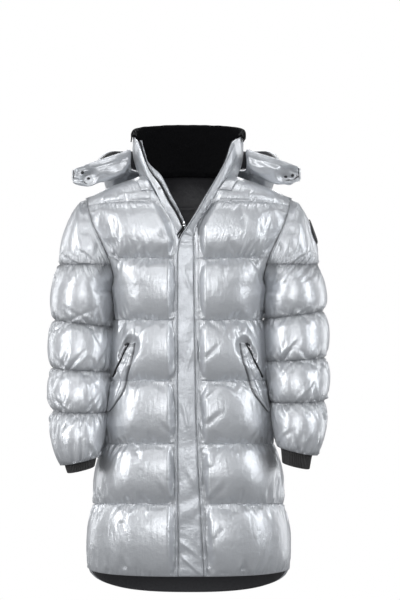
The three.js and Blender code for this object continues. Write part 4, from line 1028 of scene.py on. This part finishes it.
# %% Knit cuffs
CUFF_RIBS = 56
for side, sign in SIDES.items():
    around = np.linspace(-1, 1, CUFF_RIBS * 6 + 1)
    hem = sleeve_point(side, np.full((1, 1), -655.0), around)[0]
    above = sleeve_point(side, np.full((1, 1), -595.0), around)[0]
    centre = hem[:-1].mean(0)
    down = unit(centre - above[:-1].mean(0))
    below = {"right": 20, "left": 34}[side]
    level = np.concatenate([np.linspace(-26, below, 26), [below + 1.4, below + 1.6]])
    inset = np.interp(level, [-26, -4, 8, below, below + 1.6], [8.7, 6.9, 9.5, 13, 15])
    rib = 1.6 * (0.5 + 0.5 * np.cos(around * np.pi * CUFF_RIBS))
    spoke = hem - centre
    reach = np.linalg.norm(spoke, axis=1)
    knit = []
    for lift, ribs in ((0, 1), (-3, 0)):
        radius = reach[None] - inset[:, None] + rib[None] * ribs + lift
        knit.append(centre + spoke[None] * (radius / reach)[..., None] + down * level[:, None, None])
    outer, inner = (g[:, ::-1] for g in knit)
    wall("rib_cuff_knit_" + side, outer, inner, closed=True, mirrored=sign < 0)
print("cuff ribs", CUFF_RIBS)

# %% [markdown]
# ## Pockets
# A slanted pocket has a welt, which is a folded leaf of shell cloth, and a zip along its outer edge. Both
# lie on the padded front. Their points are found with rays from the front, so that they follow its puff.

# %% Points on the padded fronts
def surface(outer):
    rows, columns = outer.shape[:2]
    index = np.arange(rows * columns).reshape(rows, columns)
    return BVHTree.FromPolygons(outer.reshape(-1, 3).tolist(), quads(index, False).tolist())


FRONT_TREES = {side: surface(fronts[side]["outer"]) for side in SIDES}


def on_front(side, x, z):
    """Where rays from the front meet a padded front, and the cloth's way out there."""
    starts, way = xyz(x, -400.0, z), Vector((0, 1, 0))
    points, outs = [], []
    for start in starts.reshape(-1, 3):
        place, normal, _, _ = FRONT_TREES[side].ray_cast(Vector(start), way)
        if place is None:
            place, normal, _, _ = FRONT_TREES[side].find_nearest(Vector(start) + way * 100)
        normal = -normal if normal.dot(way) > 0 else normal
        points.append(place)
        outs.append(normal)
    return np.array(points).reshape(starts.shape), np.array(outs).reshape(starts.shape)

# %% Welts and pocket zips
WELT = table(
    "z inner outer",
    (-550, 184, 188), (-534, 171, 184), (-505, 150, 179), (-493, 144, 178),
    (-463, 136, 165), (-432, 126, 150), (-405, 120, 137), (-388, 118, 129),
)
WELT_LOW, WELT_TOP, ZIP_LOW = -550, -388, -470
POCKET_SHIFT = {"right": 5, "left": 0}
ZIP_BESIDE, POCKET_ZIP_WIDTH = 1.4, 6


def pocket_shift(side, z):
    return POCKET_SHIFT[side] * smooth((z - WELT_LOW) / 120)


def pocket_sheet(name, side, inner, outer, low, rows, columns, lift, thick, edge=None, seam=None):
    z = np.linspace(low, WELT_TOP, rows)[:, None]
    across = np.linspace(0, 1, columns)[None, :]
    x = mix(inner(z), outer(z), across) + pocket_shift(side, z)
    points, outs = on_front(side, x, np.broadcast_to(z, x.shape))
    # the ray's ways out are uneven, so neighbours share them
    for _ in range(6):
        padded = np.pad(outs, ((1, 1), (1, 1), (0, 0)), mode="edge")
        outs = unit(padded[:-2, 1:-1] + padded[2:, 1:-1] + padded[1:-1, :-2] + padded[1:-1, 2:] + outs)
    high = lift + (edge(across, z) if edge else 0)
    high = np.broadcast_to(high, x.shape)[..., None]
    # the seam values here are painted shade in the pocket mouth
    dark = None if seam is None else seam(across)
    outer_skin, inner_skin = points + outs * high, points + outs * (high - thick)
    return wall(name, outer_skin, inner_skin, mirrored=side == "right", seam=dark)


def ridge_at(at, middle, half_width):
    return np.exp(-(((at - middle) / half_width) ** 2))


def welt_fold(across, z):
    """The mouth dips to the front, both edges beside it are full, and a seam runs between them."""
    kink = 1.6 * ridge_at(z, -500, 7) * (0.4 + across)
    pulls = 0.8 * np.sin(z / 9 + 3 * across) * across
    edges = 1.5 * ridge_at(across, 0.24, 0.07) + 1.2 * ridge_at(across, 0.94, 0.08)
    return edges - 4.6 * ridge_at(across, 0, 0.11) - 1.3 * ridge_at(across, 0.42, 0.035) + kink + pulls


# painted shade: the pocket mouth along the welt's inner edge is darkened
def mouth_shade(across):
    return 3.0 * ridge_at(across, 0, 0.13)


def beside_welt(distance):
    return lambda z: read(WELT, "outer", z) + distance


for side in SIDES:
    pocket_sheet(
        "pocket_welt_cloth_" + side, side, lambda z: read(WELT, "inner", z), beside_welt(0),
        WELT_LOW, 110, 26, 5.0, 3.2, welt_fold, mouth_shade,
    )
    pocket_sheet(
        "pocket_zip_cloth_" + side, side, beside_welt(ZIP_BESIDE), beside_welt(ZIP_BESIDE + POCKET_ZIP_WIDTH),
        ZIP_LOW, 50, 6, 1.9, 1.2,
    )
print("pocket pieces", [name for name in made if "pocket" in name])

# %% [markdown]
# ## Patch and hood tabs
# The patch is a plain shield on the left upper sleeve with a raised, stitched border. The tabs are short
# straps where the collar meets the fronts. Both are read off the padded grids at places between their
# points, so that they lie on the cloth.

# %% The patch
def between(grid, row, column):
    i, j = np.floor(row).astype(int), np.floor(column).astype(int)
    s, t = (row - i)[..., None], (column - j)[..., None]
    return mix(mix(grid[i, j], grid[i, j + 1], t), mix(grid[i + 1, j], grid[i + 1, j + 1], t), s)


SHIELD = {"width": 44, "height": 54, "inZ": -124, "around": -0.1, "per_around": 160}
ring = np.concatenate([np.linspace(0.02, 0.82, 12), np.linspace(0.84, 1, 9)])[:, None]
spoke = np.linspace(0, 2 * np.pi, 73)[None, :]
reach = np.where(np.sin(spoke) > 0, 1, 1 + 0.24 * np.sin(spoke) * np.abs(np.cos(spoke)))
u = np.cos(spoke) * ring * reach * SHIELD["width"] / 2
v = np.sin(spoke) * ring * SHIELD["height"] / 2
order = np.argsort(SLEEVE_ROWS)
row = np.interp(SHIELD["inZ"] + v, SLEEVE_ROWS[order], np.arange(len(SLEEVE_ROWS))[order])
column = (SHIELD["around"] + u / SHIELD["per_around"] + 1) / 2 * SLEEVE_COLUMNS
points, outs = between(arms["left"]["outer"], row, column), unit(between(arms["left"]["out"], row, column))
PATCH_LOW, PATCH_TOP, PATCH_BORDER = 1.0, 2.4, 0.9
border = PATCH_BORDER * ridge_at(ring, 0.93, 0.035) * np.ones_like(spoke)
patch_outer, patch_inner = points + outs * (PATCH_TOP + border)[..., None], points + outs * PATCH_LOW
across, along = patch_outer[3, 1] - patch_outer[3, 0], patch_outer[4, 0] - patch_outer[3, 0]
turned = slice(None, None, -1 if np.dot(np.cross(across, along), outs[3, 0]) < 0 else 1)
wall("sleeve_patch_cloth", patch_outer[:, turned], patch_inner[:, turned], closed=True)

# %% Hood tabs
TAB_UP, TAB_IN = (0.225, 0.525), (0.03, 0.16)  # shares of the shoulder's rows and of the columns
TAB_HEIGHT, TAB_HEM, TAB_THICK = 3.4, 0.9, 2.2
for side, sign in SIDES.items():
    row = len(BODY_ROWS) - 1 + len(YOKE_STEPS) * np.linspace(*TAB_UP, 16)[:, None]
    column = FRONT_COLUMNS * np.linspace(*TAB_IN, 24)[None, :]
    row, column = np.broadcast_arrays(row, column)
    points, outs = (between(fronts[side][what], row, column) for what in ("outer", "out"))
    outs = unit(outs)
    hem = np.minimum(np.minimum(row - row.min(), row.max() - row) / 1.2, 1)
    high = (TAB_HEIGHT + TAB_HEM * hem)[..., None]
    outer, inner = points + outs * high, points + outs * (high - TAB_THICK)
    wall("hood_tab_cloth_" + side, outer, inner, mirrored=sign < 0)
print("pockets, patch and tabs made")

# %% [markdown]
# ## Thread and zip teeth
# Stitches and teeth are one small shape each, repeated along a line of points. Repeating it in numpy
# makes a single mesh, which Blender handles far better than thousands of objects.

# %% Thread and teeth
def resample(line, pitch):
    reach = np.concatenate([[0], np.cumsum(np.linalg.norm(np.diff(line, axis=0), axis=1))])
    at = np.arange(pitch / 2, reach[-1], pitch)
    return np.stack([np.interp(at, reach, line[:, a]) for a in range(3)], -1)


def resample_ways(line, out, centres):
    nearest = [int(np.argmin(((line - c) ** 2).sum(1))) for c in centres]
    return out[nearest]


BOX = np.array([(x, y, z) for x in (-1, 1) for y in (-1, 1) for z in (-1, 1)], float) / 2
BOX_FACES = [(0, 1, 3, 2), (4, 6, 7, 5), (0, 4, 5, 1), (2, 3, 7, 6), (0, 2, 6, 4), (1, 5, 7, 3)]
# a stitch dives at both ends, so its box is narrower there
STITCH = np.array([(x, y * (0.35 if abs(x) > 0.9 else 1), z) for x in (-1, -0.4, 0.4, 1)
                   for y, z in ((-1, 0), (0, 1), (1, 0), (0, -1))]) / 2
STITCH_FACES = [(a + 4 * k, (a + 1) % 4 + 4 * k, (a + 1) % 4 + 4 * k + 4, a + 4 * k + 4)
                for k in range(3) for a in range(4)] + [(3, 2, 1, 0), (12, 13, 14, 15)]


def repeated(name, lines, shape, shape_faces, size, pitch):
    """One shape along lines of (points, ways out). size is its length, width and height."""
    points, faces = [], []
    for line, out in lines:
        centres = resample(line, pitch)
        ways_out = resample_ways(line, out, centres)
        ahead = unit(np.gradient(centres, axis=0)) if len(centres) > 1 else np.zeros_like(centres)
        for centre, ahead_k, out_k in zip(centres, ahead, ways_out):
            side_k = np.cross(out_k, ahead_k)
            axes = np.stack([ahead_k * size[0], unit(side_k) * size[1], out_k * size[2]])
            faces += [[i + len(points) * len(shape) for i in face] for face in shape_faces]
            points.append(centre + shape @ axes)
    return finish_mesh(name, np.concatenate(points), faces, [0] * len(faces))

# %% Quilting thread
THREAD_LIFT = 0.5


def seam_line(panel_made, rows, seam, columns, sign=1):
    """A quilting seam's points on a padded panel, and the cloth's ways out along it."""
    row = int(np.argmin(np.abs(rows - seam)))
    line, out = (panel_made[what][row, columns] for what in ("outer", "out"))
    return (line + out * THREAD_LIFT) * (sign, 1, 1), out * (sign, 1, 1)


quilting = []
for seam in BODY_SEAMS[1:]:
    for side, sign in SIDES.items():
        quilting.append(seam_line(fronts[side], BODY_ROWS, seam, slice(4, -1), sign))
    quilting.append(seam_line(back, BODY_ROWS, seam, slice(1, -1)))
for seam in SLEEVE_SEAMS[1:-1]:
    for side, sign in SIDES.items():
        quilting.append(seam_line(arms[side], SLEEVE_ROWS, seam, slice(2, -2), sign))
repeated("quilting_thread", quilting, STITCH, STITCH_FACES, (3.8, 0.8, 0.6), 5.4)

# %% Thread of the flap, and zip teeth

flap = refine(flap_coarse, 330, 61)
flap_out = normals(flap)
flap_out = -flap_out if flap_out[100, 30, 1] > 0 else flap_out
topstitch = [(flap[:, k] + flap_out[:, k] * 0.35, flap_out[:, k]) for k in (3, 9, 51, 57)]
repeated("flap_thread", topstitch, STITCH, STITCH_FACES, (3.0, 0.7, 0.5), 4.0)

teeth = []
for side in SIDES:
    inwards = {"right": -5.2, "left": -0.6}[side]
    line = refine(lapel(side, np.array([inwards, inwards + 1]), -TAPE_BEHIND + 0.9), 90, 2)[:, 0]
    raised, level = (lapel(side, np.array([0.0, 1.0]), lift)[:, :1] for lift in (1, 0))
    out = raised - level
    teeth.append((line, unit(refine(np.concatenate([out, out], 1), 90, 2)[:, 0])))
repeated("front_zip_teeth", teeth, BOX, BOX_FACES, (1.7, 3.4, 2.0), 2.9)

pocket_teeth = []
for side, sign in SIDES.items():
    z = np.linspace(ZIP_LOW + 1, WELT_TOP - 1, 60)
    x = beside_welt(ZIP_BESIDE + POCKET_ZIP_WIDTH / 2)(z) + pocket_shift(side, z)
    points, outs = on_front(side, x, z)
    pocket_teeth.append(((points + outs * 2.3) * (sign, 1, 1), outs * (sign, 1, 1)))
repeated("pocket_zip_teeth", pocket_teeth, BOX, BOX_FACES, (1.3, 3.2, 1.4), 2.1)
print("thread and teeth", {n: len(made[n].data.polygons) for n in made if "thread" in n or "teeth" in n})

# %% [markdown]
# ## Materials
# A shader is a sum of small patterns: weave, crinkle, sheen and wear. `Wire` wraps a socket of the node
# tree, so that those sums are written as ordinary Python. The patterns are set in the cloth's own
# directions, from a UV map in metres that each grid gave its piece.

# %% Shader sums
class Wire:
    """A socket that Python's own signs work on."""

    def __init__(self, tree, socket):
        self.tree, self.socket = tree, socket

    def node(self, kind, settings=None, inputs=None, output=0):
        new = self.tree.nodes.new("ShaderNode" + kind)
        for name, value in (settings or {}).items():
            setattr(new, name, value)
        for name, value in (inputs or {}).items():
            if isinstance(value, Wire):
                self.tree.links.new(value.socket, new.inputs[name])
            else:
                new.inputs[name].default_value = value
        return Wire(self.tree, new.outputs[output])

    def math(self, operation, other=0.0):
        return self.node("Math", {"operation": operation}, {0: self, 1: other})

    def __add__(self, other):
        return self.math("ADD", other)

    def __mul__(self, other):
        return self.math("MULTIPLY", other)

    def __sub__(self, other):
        return self.math("SUBTRACT", other)

    def __rsub__(self, other):
        return self * -1.0 + other

    __radd__, __rmul__ = __add__, __mul__

    def part(self, axis):
        return self.node("SeparateXYZ", None, {0: self}, axis)

    def times(self, x, y, z=1.0):
        return self.node("VectorMath", {"operation": "MULTIPLY"}, {0: self, 1: (x, y, z)})

    def noise(self, scale, detail=2.0, roughness=0.5):
        values = {"Vector": self, "Scale": scale, "Detail": detail, "Roughness": roughness}
        return self.node("TexNoise", None, values)

    def ramp(self, low, high):
        return self.node("MapRange", {"clamp": True}, {0: self, 1: low, 2: high})

    def wave(self, per_metre):
        return (self * (2 * math.pi * per_metre)).math("SINE")


def blend(amount, dark, light):
    colours = {"data_type": "RGBA"}
    return amount.node("Mix", colours, {0: amount, 6: (*dark, 1), 7: (*light, 1)}, 2)  # 2 is the colour

# %% A material
def material(name, metallic, roughness, build, **uniform):
    """A material whose build function returns its colour, roughness and height from the cloth's place."""
    new = bpy.data.materials.new(name)
    new.use_nodes = True
    tree = new.node_tree
    shader = tree.nodes["Principled BSDF"]
    shader.inputs["Metallic"].default_value = metallic
    shader.inputs["Roughness"].default_value = roughness
    for socket, value in uniform.items():
        shader.inputs[socket.replace("_", " ")].default_value = value
    place = Wire(tree, tree.nodes.new("ShaderNodeUVMap").outputs[0])
    solid = Wire(tree, tree.nodes.new("ShaderNodeTexCoord").outputs["Object"])
    # seam nearness and painted shade, read from the seam attribute
    seam = place.node("Attribute", {"attribute_name": "seam"}, None, 2)
    made_of = build(place, solid, seam)
    for socket, wire in made_of.items():
        if socket == "Height":
            wire = wire.node("Bump", None, {"Strength": 1.0, "Distance": 1.0, "Height": wire})
            socket = "Normal"
        tree.links.new(wire.socket, shader.inputs[socket])
    return new

# %% [markdown]
# ## The shell's cloth
# The shell is a fine weave under a pearl coat. Its colour drifts a little, has painted shade near seams
# and in creases, and is rubbed in places. Its height adds weft, warp, soft unevenness and a crinkle that
# grows near the seams.

# %% Shell
def shell_pattern(place, solid, seam, pearl_light=(0.77, 0.795, 0.83)):
    weft = place.times(90, 900).noise(1.0, 3.0, 0.6)
    warp = place.times(900, 90).noise(1.0, 2.0, 0.5)
    crinkle = place.times(150, 24).noise(1.0, 3.0, 0.55)
    soft = solid.noise(26.0, 3.0, 0.5)
    fine = solid.noise(120.0, 4.0, 0.6)
    seam_crinkle_and_shade = seam.ramp(0.35, 1.0)
    crease_shade = seam.ramp(1.0, 2.0) * 0.6
    pearl = solid.noise(7.0, 2.0, 0.5)
    tone = pearl * 0.45 + weft * 0.35 + soft * 0.2
    worn = (solid.noise(45.0, 5.0, 0.7) - 0.62).math("MAXIMUM", 0.0) * 1.2
    height = (weft - 0.5) * 0.00022 + (warp - 0.5) * 0.00008 + (soft - 0.5) * 0.0022
    height = height + (fine - 0.5) * 0.0005 + (crinkle - 0.5) * (seam_crinkle_and_shade * 0.0042 + 0.0007)
    # painted shade: darker near the seams and darker still in dark creases; tone and worn are the cloth's own
    lightness = 0.55 + (tone - seam_crinkle_and_shade * 0.25 - worn) * 0.45 - crease_shade
    return {
        "Base Color": blend(lightness, (0.12, 0.125, 0.135), pearl_light),
        "Roughness": 0.27 + soft * 0.1 + weft * 0.08 + seam_crinkle_and_shade * 0.06,
        "Height": height,
    }


SHELL_COAT = {"Coat_Weight": 0.12, "Coat_Roughness": 0.3, "Sheen_Weight": 0.1}
shell = material("shell_pearl", 0.62, 0.4, shell_pattern, **SHELL_COAT)


# a darker copy of the shell colour for the flat flaps: painted shade
def shaded_shell_pattern(place, solid, seam):
    return shell_pattern(place, solid, seam, (0.62, 0.645, 0.68))


shaded_shell_copy = material("shell_pearl_shaded", 0.5, 0.45, shaded_shell_pattern, Sheen_Weight=0.1)
print("shell nodes", len(shell.node_tree.nodes))

# %% [markdown]
# ## The other cloths and the metals
# Each of these is told from the next by its own small pattern: a weft, tufts, a knit stitch, herringbone,
# twill, twist, scratches or rubbed teeth. Each has at least two of them at different sizes, since one
# alone looks printed on.

# %% Cloths
def lining_pattern(place, solid, seam):
    weft = place.times(120, 1100).noise(1.0, 2.0)
    creased = solid.noise(34.0, 4.0, 0.55)
    return {
        "Base Color": blend(weft * 0.6 + creased * 0.4, (0.018, 0.018, 0.021), (0.062, 0.062, 0.07)),
        "Roughness": 0.42 + creased * 0.22,
        "Height": (weft - 0.5) * 0.0002 + (creased - 0.5) * 0.003,
    }


def fleece_pattern(place, solid, seam):
    tufts = solid.noise(420.0, 3.0, 0.7)
    clumps = solid.noise(95.0, 3.0, 0.6)
    return {
        "Base Color": blend(tufts * 0.5 + clumps * 0.5, (0.001, 0.001, 0.0012), (0.006, 0.006, 0.007)),
        "Roughness": 0.85 + clumps * 0.15,
        "Height": tufts * 0.0016 + clumps * 0.003,
    }


def knit_pattern(place, solid, seam):
    stitch = place.part(1).wave(560)
    fuzz = solid.noise(700.0, 3.0, 0.7)
    return {
        "Base Color": blend(stitch * 0.25 + fuzz * 0.6, (0.006, 0.0055, 0.006), (0.035, 0.033, 0.035)),
        "Roughness": 0.8 + fuzz * 0.2,
        "Height": stitch * 0.00035 + fuzz * 0.0006,
    }


def tape_pattern(place, solid, seam):
    u, v = place.part(0), place.part(1)
    herringbone = (u * 900.0 + (v * 700.0).math("PINGPONG", 1.0) * 2.0).math("SINE")
    fuzz = solid.noise(600.0, 2.0)
    return {
        "Base Color": blend(herringbone * 0.2 + fuzz * 0.6, (0.006, 0.006, 0.007), (0.03, 0.03, 0.033)),
        "Roughness": 0.6 + fuzz * 0.3,
        "Height": herringbone * 0.00018 + fuzz * 0.0001,
    }


def patch_pattern(place, solid, seam):
    twill = (solid.part(1) + solid.part(2)).wave(900)
    fuzz = solid.noise(500.0, 3.0)
    return {
        "Base Color": blend(twill * 0.25 + fuzz * 0.5, (0.004, 0.004, 0.005), (0.022, 0.022, 0.026)),
        "Roughness": 0.55 + fuzz * 0.3,
        "Height": twill * 0.0002 + fuzz * 0.0002,
    }


def thread_pattern(place, solid, seam):
    twist = (solid.part(0) + solid.part(2)).wave(1500)
    age = solid.noise(60.0)
    return {
        "Base Color": blend(age + twist * 0.15, (0.28, 0.3, 0.33), (0.5, 0.53, 0.57)),
        "Roughness": 0.45 + age * 0.3,
        "Height": twist * 0.0001,
    }

# %% Metals
def metal_pattern(place, solid, seam):
    scratches = solid.times(1, 1, 9).noise(300.0, 3.0, 0.7)
    handled = solid.noise(80.0, 3.0)
    return {
        "Base Color": blend(handled, (0.5, 0.5, 0.52), (0.74, 0.75, 0.77)),
        "Roughness": 0.14 + handled * 0.16 + scratches * 0.12,
        "Height": (scratches - 0.5) * 0.00006,
    }


def teeth_pattern(place, solid, seam):
    rub = solid.noise(240.0, 2.0)
    return {
        "Base Color": blend(rub, (0.012, 0.012, 0.014), (0.07, 0.07, 0.075)),
        "Roughness": 0.28 + rub * 0.3,
        "Height": rub * 0.0001,
    }


lining = material("lining_weave", 0.0, 0.5, lining_pattern, Sheen_Weight=0.35)
fleece = material("fleece_pile", 0.0, 0.95, fleece_pattern, Specular_IOR_Level=0.08)
knit_yarn = material("rib_knit_yarn", 0.0, 0.9, knit_pattern, Sheen_Weight=0.3)
tape_weave = material("zip_tape_weave", 0.0, 0.75, tape_pattern)
patch_twill = material("patch_twill", 0.0, 0.7, patch_pattern, Sheen_Weight=0.2)
thread = material("sewing_thread", 0.1, 0.6, thread_pattern)
nickel = material("polished_nickel", 1.0, 0.25, metal_pattern)
teeth_metal = material("zip_teeth", 0.3, 0.4, teeth_pattern)
print("materials", len(bpy.data.materials))

# %% [markdown]
# ## Each piece and what it stands for
# Every piece rides the coat's body and takes its materials, and the CAD node that it replaces is
# hidden. Padded panels are thick, and the rest are sheets whose cut size is worked out from their UV map.

# %% Cut sizes
LEAST_CUT = 0.01


def cut_size(piece):
    """Width and length of a piece's cloth, from the UV map in metres."""
    size = np.empty(len(piece.data.loops) * 2, np.float32)
    piece.data.uv_layers[0].data.foreach_get("uv", size)
    width, length = np.ptp(size.reshape(-1, 2), axis=0).tolist()
    return max(width, LEAST_CUT), length

# %% Tables of the pieces
PADDED = {
    # piece: CAD node
    "front_shell_right": "front_right", "front_shell_left": "front_left", "back_shell": "back",
    "sleeve_shell_right": "sleeve_right", "sleeve_shell_left": "sleeve_left",
}
# each row: piece, CAD node, slot, material, how it is held, what it rests on; * stands for each side
SHEET_ROWS = [
    ("collar_shell", "collar_outer", "shell", shell, "folded", "front_shell_left back_shell"),
    ("collar_fleece", "collar_lining", "fleece", fleece, "laid", "collar_shell"),
    ("storm_flap_shell", "storm_flap", "shell", shaded_shell_copy, "laid", "front_shell_left"),
    ("wind_flap_shell", "wind_flap", "shell", shaded_shell_copy, "laid", "zip_tape_cloth_right"),
    ("zip_tape_cloth_*", "zip_tape_*", "tape", tape_weave, "laid", "front_shell_*"),
    ("hood_shell", "hood_outer", "shell", shell, "draped", "back_shell collar_shell"),
    ("hood_cloth", "hood_lining", "lining", lining, "laid", "hood_shell"),
    ("back_lining_cloth", "back_lining", "lining", lining, "hung", "back_shell"),
    ("rib_cuff_knit_*", "rib_cuff_*", "knit", knit_yarn, "stretched", "sleeve_shell_*"),
    ("pocket_welt_cloth_*", "pocket_welt_*", "shell", shell, "folded", "front_shell_*"),
    ("pocket_zip_cloth_*", "pocket_zip_*", "tape", tape_weave, "laid", "front_shell_*"),
    ("sleeve_patch_cloth", "sleeve_patch", "patch", patch_twill, "laid", "sleeve_shell_left"),
    ("hood_tab_cloth_*", "hood_tab_*", "shell", shell, "laid", "front_shell_*"),
]
SHEETS = [
    [cell.replace("*", side) if isinstance(cell, str) else cell for cell in row]
    for row in SHEET_ROWS
    for side in (SIDES if "*" in row[0] else [""])
]
SMALL = {
    "quilting_thread": ("shell", thread),
    "flap_thread": ("shell", thread),
    "front_zip_teeth": ("tape", teeth_metal),
    "pocket_zip_teeth": ("tape", teeth_metal),
}

# %% Materials of the pieces, and the CAD nodes they hide
def dress(piece, slot, *materials):
    for one in materials:
        piece.data.materials.append(one)
    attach(piece, "coat")


for name, cad_node in PADDED.items():
    dress(made[name], "shell", shell, lining)
    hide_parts(cad_node)
for name, cad_node, slot, cloth, _, _ in SHEETS:
    dress(made[name], slot, cloth, cloth)
    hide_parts(cad_node)
# the patch is a round grid, so its cut comes from its own size
CUT = {"sleeve_patch_cloth": (SHIELD["width"] * MM, SHIELD["height"] * MM)}
for name, _, _, _, held, below in SHEETS:
    CUT.get(name) or cut_size(made[name])
for name, (slot, stuff) in SMALL.items():
    dress(made[name], slot, stuff)

# %% The metal parts of the CAD
METAL_WORDS = ("slider", "pull", "eyelet", "snap")
METAL_NODES = [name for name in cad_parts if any(word in name for word in METAL_WORDS)]
for name in METAL_NODES:
    # eyelets and the sliders on the pockets are black metal, all else is nickel
    black = "eyelet" in name or ("slider" in name and "front" not in name)
    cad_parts[name].data.materials.clear()
    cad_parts[name].data.materials.append(teeth_metal if black else nickel)
print("pieces", len(made), "and CAD nodes kept", METAL_NODES)

# %% [markdown]
# ## Floor, light and camera
# The photograph has a plain white ground, so the floor and the world are white where the camera sees
# them. A satin metallic shell shows what it reflects, so the light comes from a few large soft boxes with
# darker air between them, which draws the roundness of each channel.

# %% Stage
scene = bpy.context.scene
scene.view_settings.view_transform = "Standard"
WHITE = (1, 1, 1, 1)
ground = bpy.data.materials.new("white_ground")
ground.use_nodes = True
nodes = ground.node_tree.nodes
nodes.clear()
glow, output = nodes.new("ShaderNodeEmission"), nodes.new("ShaderNodeOutputMaterial")
glow.inputs["Color"].default_value = WHITE
ground.node_tree.links.new(glow.outputs[0], output.inputs[0])

bpy.ops.mesh.primitive_plane_add(size=30, location=(0, 0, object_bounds()[0].z - 0.002))
floor = bpy.context.object
floor.name = "floor"
floor.data.materials.append(ground)
floor.visible_diffuse = floor.visible_glossy = False
floor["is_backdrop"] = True

world = bpy.data.worlds.new("studio")
scene.world = world
world.use_nodes = True
nodes, links = world.node_tree.nodes, world.node_tree.links
nodes.clear()
seen, lighting = nodes.new("ShaderNodeBackground"), nodes.new("ShaderNodeBackground")
seen.inputs["Color"].default_value = WHITE
lighting.inputs["Color"].default_value = (0.95, 0.97, 1, 1)
lighting.inputs["Strength"].default_value = 0.28
rays, chosen = nodes.new("ShaderNodeLightPath"), nodes.new("ShaderNodeMixShader")
output = nodes.new("ShaderNodeOutputWorld")
links.new(rays.outputs["Is Camera Ray"], chosen.inputs[0])
links.new(lighting.outputs[0], chosen.inputs[1])
links.new(seen.outputs[0], chosen.inputs[2])
links.new(chosen.outputs[0], output.inputs[0])

# %% Soft boxes
SOFT_BOXES = {
    # name: place, aim, size, watts, colour
    "front": ((-0.3, -4.3, 0.35), (0, 0, -0.42), (2.2, 1.2), 46, (1, 1, 1)),
    "above": ((-0.4, -2.6, 2.0), (0, 0, -0.4), (1.8, 1.0), 13, (1, 1, 1)),
    "left": ((-2.3, -1.3, 0.3), (0, 0, -0.45), (0.6, 2.2), 32, (1, 1, 1)),
    "right": ((2.3, -1.2, 0.3), (0, 0, -0.45), (0.6, 2.2), 25, (0.97, 0.985, 1)),
    "top": ((0, 0.2, 2.2), (0, 0, 0), (1.6, 1.2), 19, (1, 1, 1)),
    "left_edge": ((-2.2, 1.2, 0.0), (0, 0, -0.5), (0.6, 2.4), 14, (1, 1, 1)),
    "right_edge": ((2.2, 1.2, -0.2), (0, 0, -0.5), (0.6, 2.4), 14, (1, 1, 1)),
    "behind": ((0, 2.6, 0.9), (0, 0, -0.4), (1.6, 1.6), 36, (1, 1, 1)),
}
for name, (place, aim, size, watts, colour) in SOFT_BOXES.items():
    light = bpy.data.lights.new(name, "AREA")
    light.shape = "RECTANGLE"
    light.size, light.size_y = size
    light.energy = watts
    light.color = colour
    box = bpy.data.objects.new(name, light)
    box.location = place
    box.rotation_euler = (Vector(aim) - Vector(place)).to_track_quat("-Z", "Y").to_euler()
    bpy.context.collection.objects.link(box)

# %% Camera
camera_data = bpy.data.cameras.new("camera")
camera_data.lens = 100
camera_data.sensor_width = 36
camera = bpy.data.objects.new("camera", camera_data)
camera.location = (0.027, -4.0, -0.288)
camera.rotation_euler = (math.radians(90), 0, 0)
bpy.context.collection.objects.link(camera)
scene.camera = camera
print("lights", len(SOFT_BOXES), "and a lens of", camera_data.lens, "mm")

# %% [markdown]
# ## The end of the script
# The last line measures the box round everything that renders, without the floor.

low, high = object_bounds()
